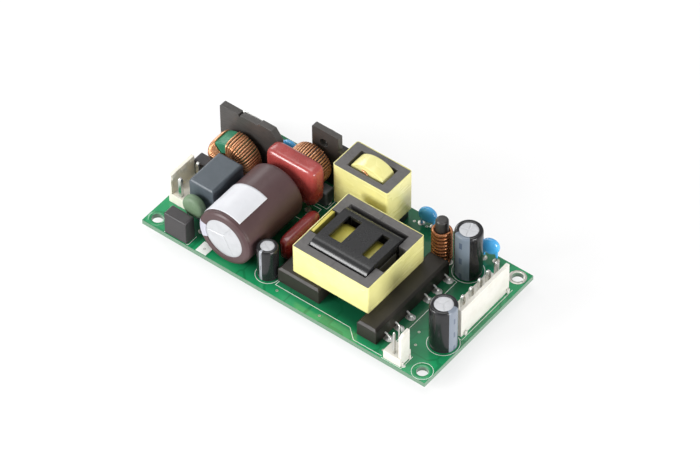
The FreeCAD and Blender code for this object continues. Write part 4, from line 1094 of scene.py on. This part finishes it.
# %% Cover with its windows
def arch(low_y, high_y, foot, top, radius, steps=10):
    """Side view of a shell: up the front, a quarter circle, over the top, another quarter circle and down the back."""
    turn = np.radians(np.linspace(0, 90, steps))
    front = np.stack((low_y + radius - radius * np.cos(turn), top - radius + radius * np.sin(turn)), -1)
    back = np.stack((high_y - radius + radius * np.sin(turn), top - radius + radius * np.cos(turn)), -1)
    return np.concatenate((((low_y, foot),), front, back, ((high_y, foot),)))


def set_out(view, stations, axis=0):
    """One side view for all stations, or one for each, set out along X (axis 0) or Y (axis 1)."""
    place = np.asarray(stations, float)[:, None] + 0 * view[..., 0]
    order = [view[..., 0] + 0 * place, view[..., 1] + 0 * place]
    order.insert(axis, place)
    return np.stack(order, -1)


low, high = mm_box("transformer_former")
cover_left, cover_right, cover_front = 2.3, 22.3, -15.3
windows, window_front, window_back = ((5.1, 9.7), (16.9, 19.6)), -10.1, -0.4
core_top = mm_box("transformer_core_left")[1][2]
view = arch(cover_front, high[1], core_top - 3.2, high[2], 3.0)
over_top = [(y, high[2]) for y in (window_front, -8.0, -5.5, -3.0, window_back)]
view = np.concatenate((view[:11], over_top, view[11:]))
stations = np.unique(np.concatenate((np.linspace(cover_left, cover_right, 21), np.ravel(windows))))
shell = mesh_of("former_cover", [skin(set_out(view, stations), round_columns=False)])


def in_window(face):
    """True for a top face whose middle lies in a window."""
    middle = face.calc_center_median() * 1000
    over = face.normal.z > 0.9 and window_front < middle.y < window_back
    return over and any(left < middle.x < right for left, right in windows)


form = bmesh.new()
form.from_mesh(shell)
bmesh.ops.delete(form, geom=[face for face in form.faces if in_window(face)], context="FACES")
form.to_mesh(shell)
form.free()
cover_black = finish("glossy_cover", "202021", "1b1b1c", 0.27, 0.01, grain=300, height=0.004)
cover = piece("former_cover", shell, cover_black, "black_plastic", "transformer_former", sharp=35)
wall = cover.modifiers.new("wall", "SOLIDIFY")
wall.thickness, wall.offset, wall.use_even_offset = 0.0011, -1.0, True
soft = cover.modifiers.new("edges", "BEVEL")
soft.width, soft.segments, soft.limit_method = 0.00016, 2, "ANGLE"
soft.angle_limit, soft.harden_normals = math.radians(50), True

# %% [markdown]
# Under it lies the winding, layer on layer of film tape. Its edge is a stack of thin steps.

# %% Taped windings
def drawn_in(view, inset):
    """The side view once for each inset, drawn in towards its middle by that much, so that the ends are round."""
    middle = view.mean(0)
    return np.stack([middle + (view - middle) * (1 - k / np.ptp(view, axis=0) * 2) for k in inset])


# A darker copy of the yellow tape: painted shade for the winding under the cover and for the strip in the recess.
tape_painted_shade = finish("yellow_tape_painted_shade", "cbc058", "b9ad46", 0.3, 0.03, size=120, stretch=(0.25, 0.25, 1.0), grain=900,
                   height=0.1)
low, high = mm_box("transformer_winding")
view = arch(low[1] + 0.2, high[1] - 1.0, low[2] + 0.4, high[2] - 1.0, 5.2, 14)
rows = drawn_in(view, (0.5, 0.2, 0, 0, 0, 0.2, 0.5))
stations = (low[0] + 0.3, low[0] + 0.45, low[0] + 0.9, 12.3, high[0] - 0.9, high[0] - 0.45, high[0] - 0.3)
piece("transformer_wraps", [set_out(rows, stations)], tape_painted_shade, "yellow_tape", "transformer_winding")
low, high = mm_box("boost_winding")
across = (low[0] + high[0]) / 2
half = (high[0] - low[0]) / 2 + 0.45
turn = np.radians(np.linspace(0, 180, 41))
crown = np.stack((across + half * np.cos(turn), high[2] - 3.0 + 3.6 * np.sin(turn)), -1)
view = np.concatenate((crown, ((across - half, low[2]), (across + half, low[2]))))
rows = drawn_in(view, (0.4, 0.14, 0, 0, 0, 0.14, 0.4))
stations = (low[1], low[1] + 0.12, low[1] + 0.4, (low[1] + high[1]) / 2, high[1] - 0.4, high[1] - 0.12, high[1])
piece("boost_wraps", [set_out(rows, stations, 1)], film_tape, "yellow_tape", "boost_winding")

# %% [markdown]
# The left recess of the core shows a strip of tape on the side of the winding.

# %% Tape in the recess
low, high = mm_box("transformer_core_left")
# The strip takes the darker tape: painted shade in the recess.
strip = rounded_block((low[0] + 0.15, -10.4, high[2] - 2.6), (low[0] + 1.3, -0.8, high[2] - 0.05), 0.2)
piece("recess_tape", [strip], tape_painted_shade, "yellow_tape")

# %% [markdown]
# A stub of the winding's wire shows at the front of the choke's window, where it dives under the tape.

# %% Wire stub, base and rails
low, high = mm_box("boost_winding")
stub = softened([
    (across + x, low[1] - y, high[2] - z) for x, y, z in (
        (-1.5, 0.1, 1.1), (-0.6, 0.25, 1.0), (0.4, 0.3, 1.6), (0.6, 0.2, 4.0))])
piece("choke_wire_stub", [carried(stub, ring_of(0.3, 12), (0, 1, 0))], enamel, "copper")
moulded("boost_base", black_moulding, "black_plastic", 0.3)
rail_black = finish("rail_black", "28241f", "221f1b", 0.44, 0.02, grain=400, height=0.01, Specular_IOR_Level=0.35)
moulded("transformer_base", rail_black, "black_plastic", 0.3, 3)

# %% [markdown]
# Six tinned tails leave the transformer's rail, dip to the board and end in solder. The other pins are under the rails.

# %% Tails and pins
rail_right = 32
tail_line = ((31.0, 3.2), (31.9, 3.15), (32.6, 2.6), (33.0, 1.7), (33.1, 0.4), (33.1, -1.4))
puddle = ((1.25, 0.0), (1.1, 0.12), (0.75, 0.28), (0.5, 0.75), (0.3, 0.8))
tails, puddles = [], []
for low, high in loose_bodies("magnetics_pins"):
    y = (low[1] + high[1]) / 2
    if high[0] > rail_right:
        tails.append(carried(softened([(x, y, z) for x, z in tail_line]), ring_of(0.3, 14), (0, 1, 0)))
        puddles.append(turned(puddle, 28, (33.1, y, board_top)))
    else:
        tails.append(standing_lead(low, high, 0.45))
flowed_tin = finish("flowed_tin", "dcdcda", "c9c9c6", 0.36, size=700, grain=900, height=0.3, Metallic=0.55)
piece("winding_tails", tails, flowed_tin, "tin", "magnetics_pins", sharp=60)
piece("tail_solder", puddles, flowed_tin, "solder")

# %% [markdown]
# ## Underside
#
# Control chips and small passives are soldered flat to the back of the board, out of sight in the photograph.
# A chip's leads step down to the board like a gull's wing, and a chip capacitor has a tinned cap on each end.

# %% Chips
leg_pitch = 1.27
leg_section = ((-0.21, -0.07), (0.21, -0.07), (0.21, 0.07), (-0.21, 0.07))
chips, legs = [], []
for low, high in loose_bodies("underside_chips"):
    chips.append(rounded_block((low[0] + 0.55, low[1], low[2]), (high[0] - 0.55, high[1], -0.12), 0.14, 2))
    count = max(int((high[1] - low[1]) / leg_pitch), 2)
    for y in (low[1] + high[1]) / 2 + (np.arange(count) - (count - 1) / 2) * leg_pitch:
        for edge, way in ((low[0], 1), (high[0], -1)):
            bend = softened([
                (edge + way * x, y, z) for x, z in (
                    (0.62, low[2] / 2), (0.35, low[2] / 2), (0.25, -0.1), (-0.15, -0.08))], 2)
            legs.append(carried(bend, leg_section, (0, 1, 0)))
piece("control_chips", chips, black_moulding, "black_plastic", "underside_chips")
piece("chip_legs", legs, tinned, "tin", sharp=30)

# %% Small passives
ceramic = finish("chip_ceramic", "8a7460", "6f5c4c", 0.45, grain=4000, height=0.2)
bodies, caps = [], []
for low, high in loose_bodies("underside_passives"):
    bodies.append(rounded_block(low + (0.3, 0.04, 0.04), high - (0.3, 0.04, 0.0), 0.05, 2))
    for left, right in ((low[0], low[0] + 0.42), (high[0] - 0.42, high[0])):
        caps.append(rounded_block((left, *low[1:]), (right, *high[1:]), 0.08, 2))
piece("passive_bodies", bodies, ceramic, "chip_ceramic", "underside_passives")
piece("passive_caps", caps, solder, "solder")

# %% [markdown]
# ## Boxes at the close
#
# Both boxes, the measured one and the dressed one, are printed. The dressed part has to
# stay inside the measured box.

# %% Boxes of the measured and the dressed part
low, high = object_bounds()
print("dressed box in mm:", [round(v * 1000, 2) for v in (*low, *high)])
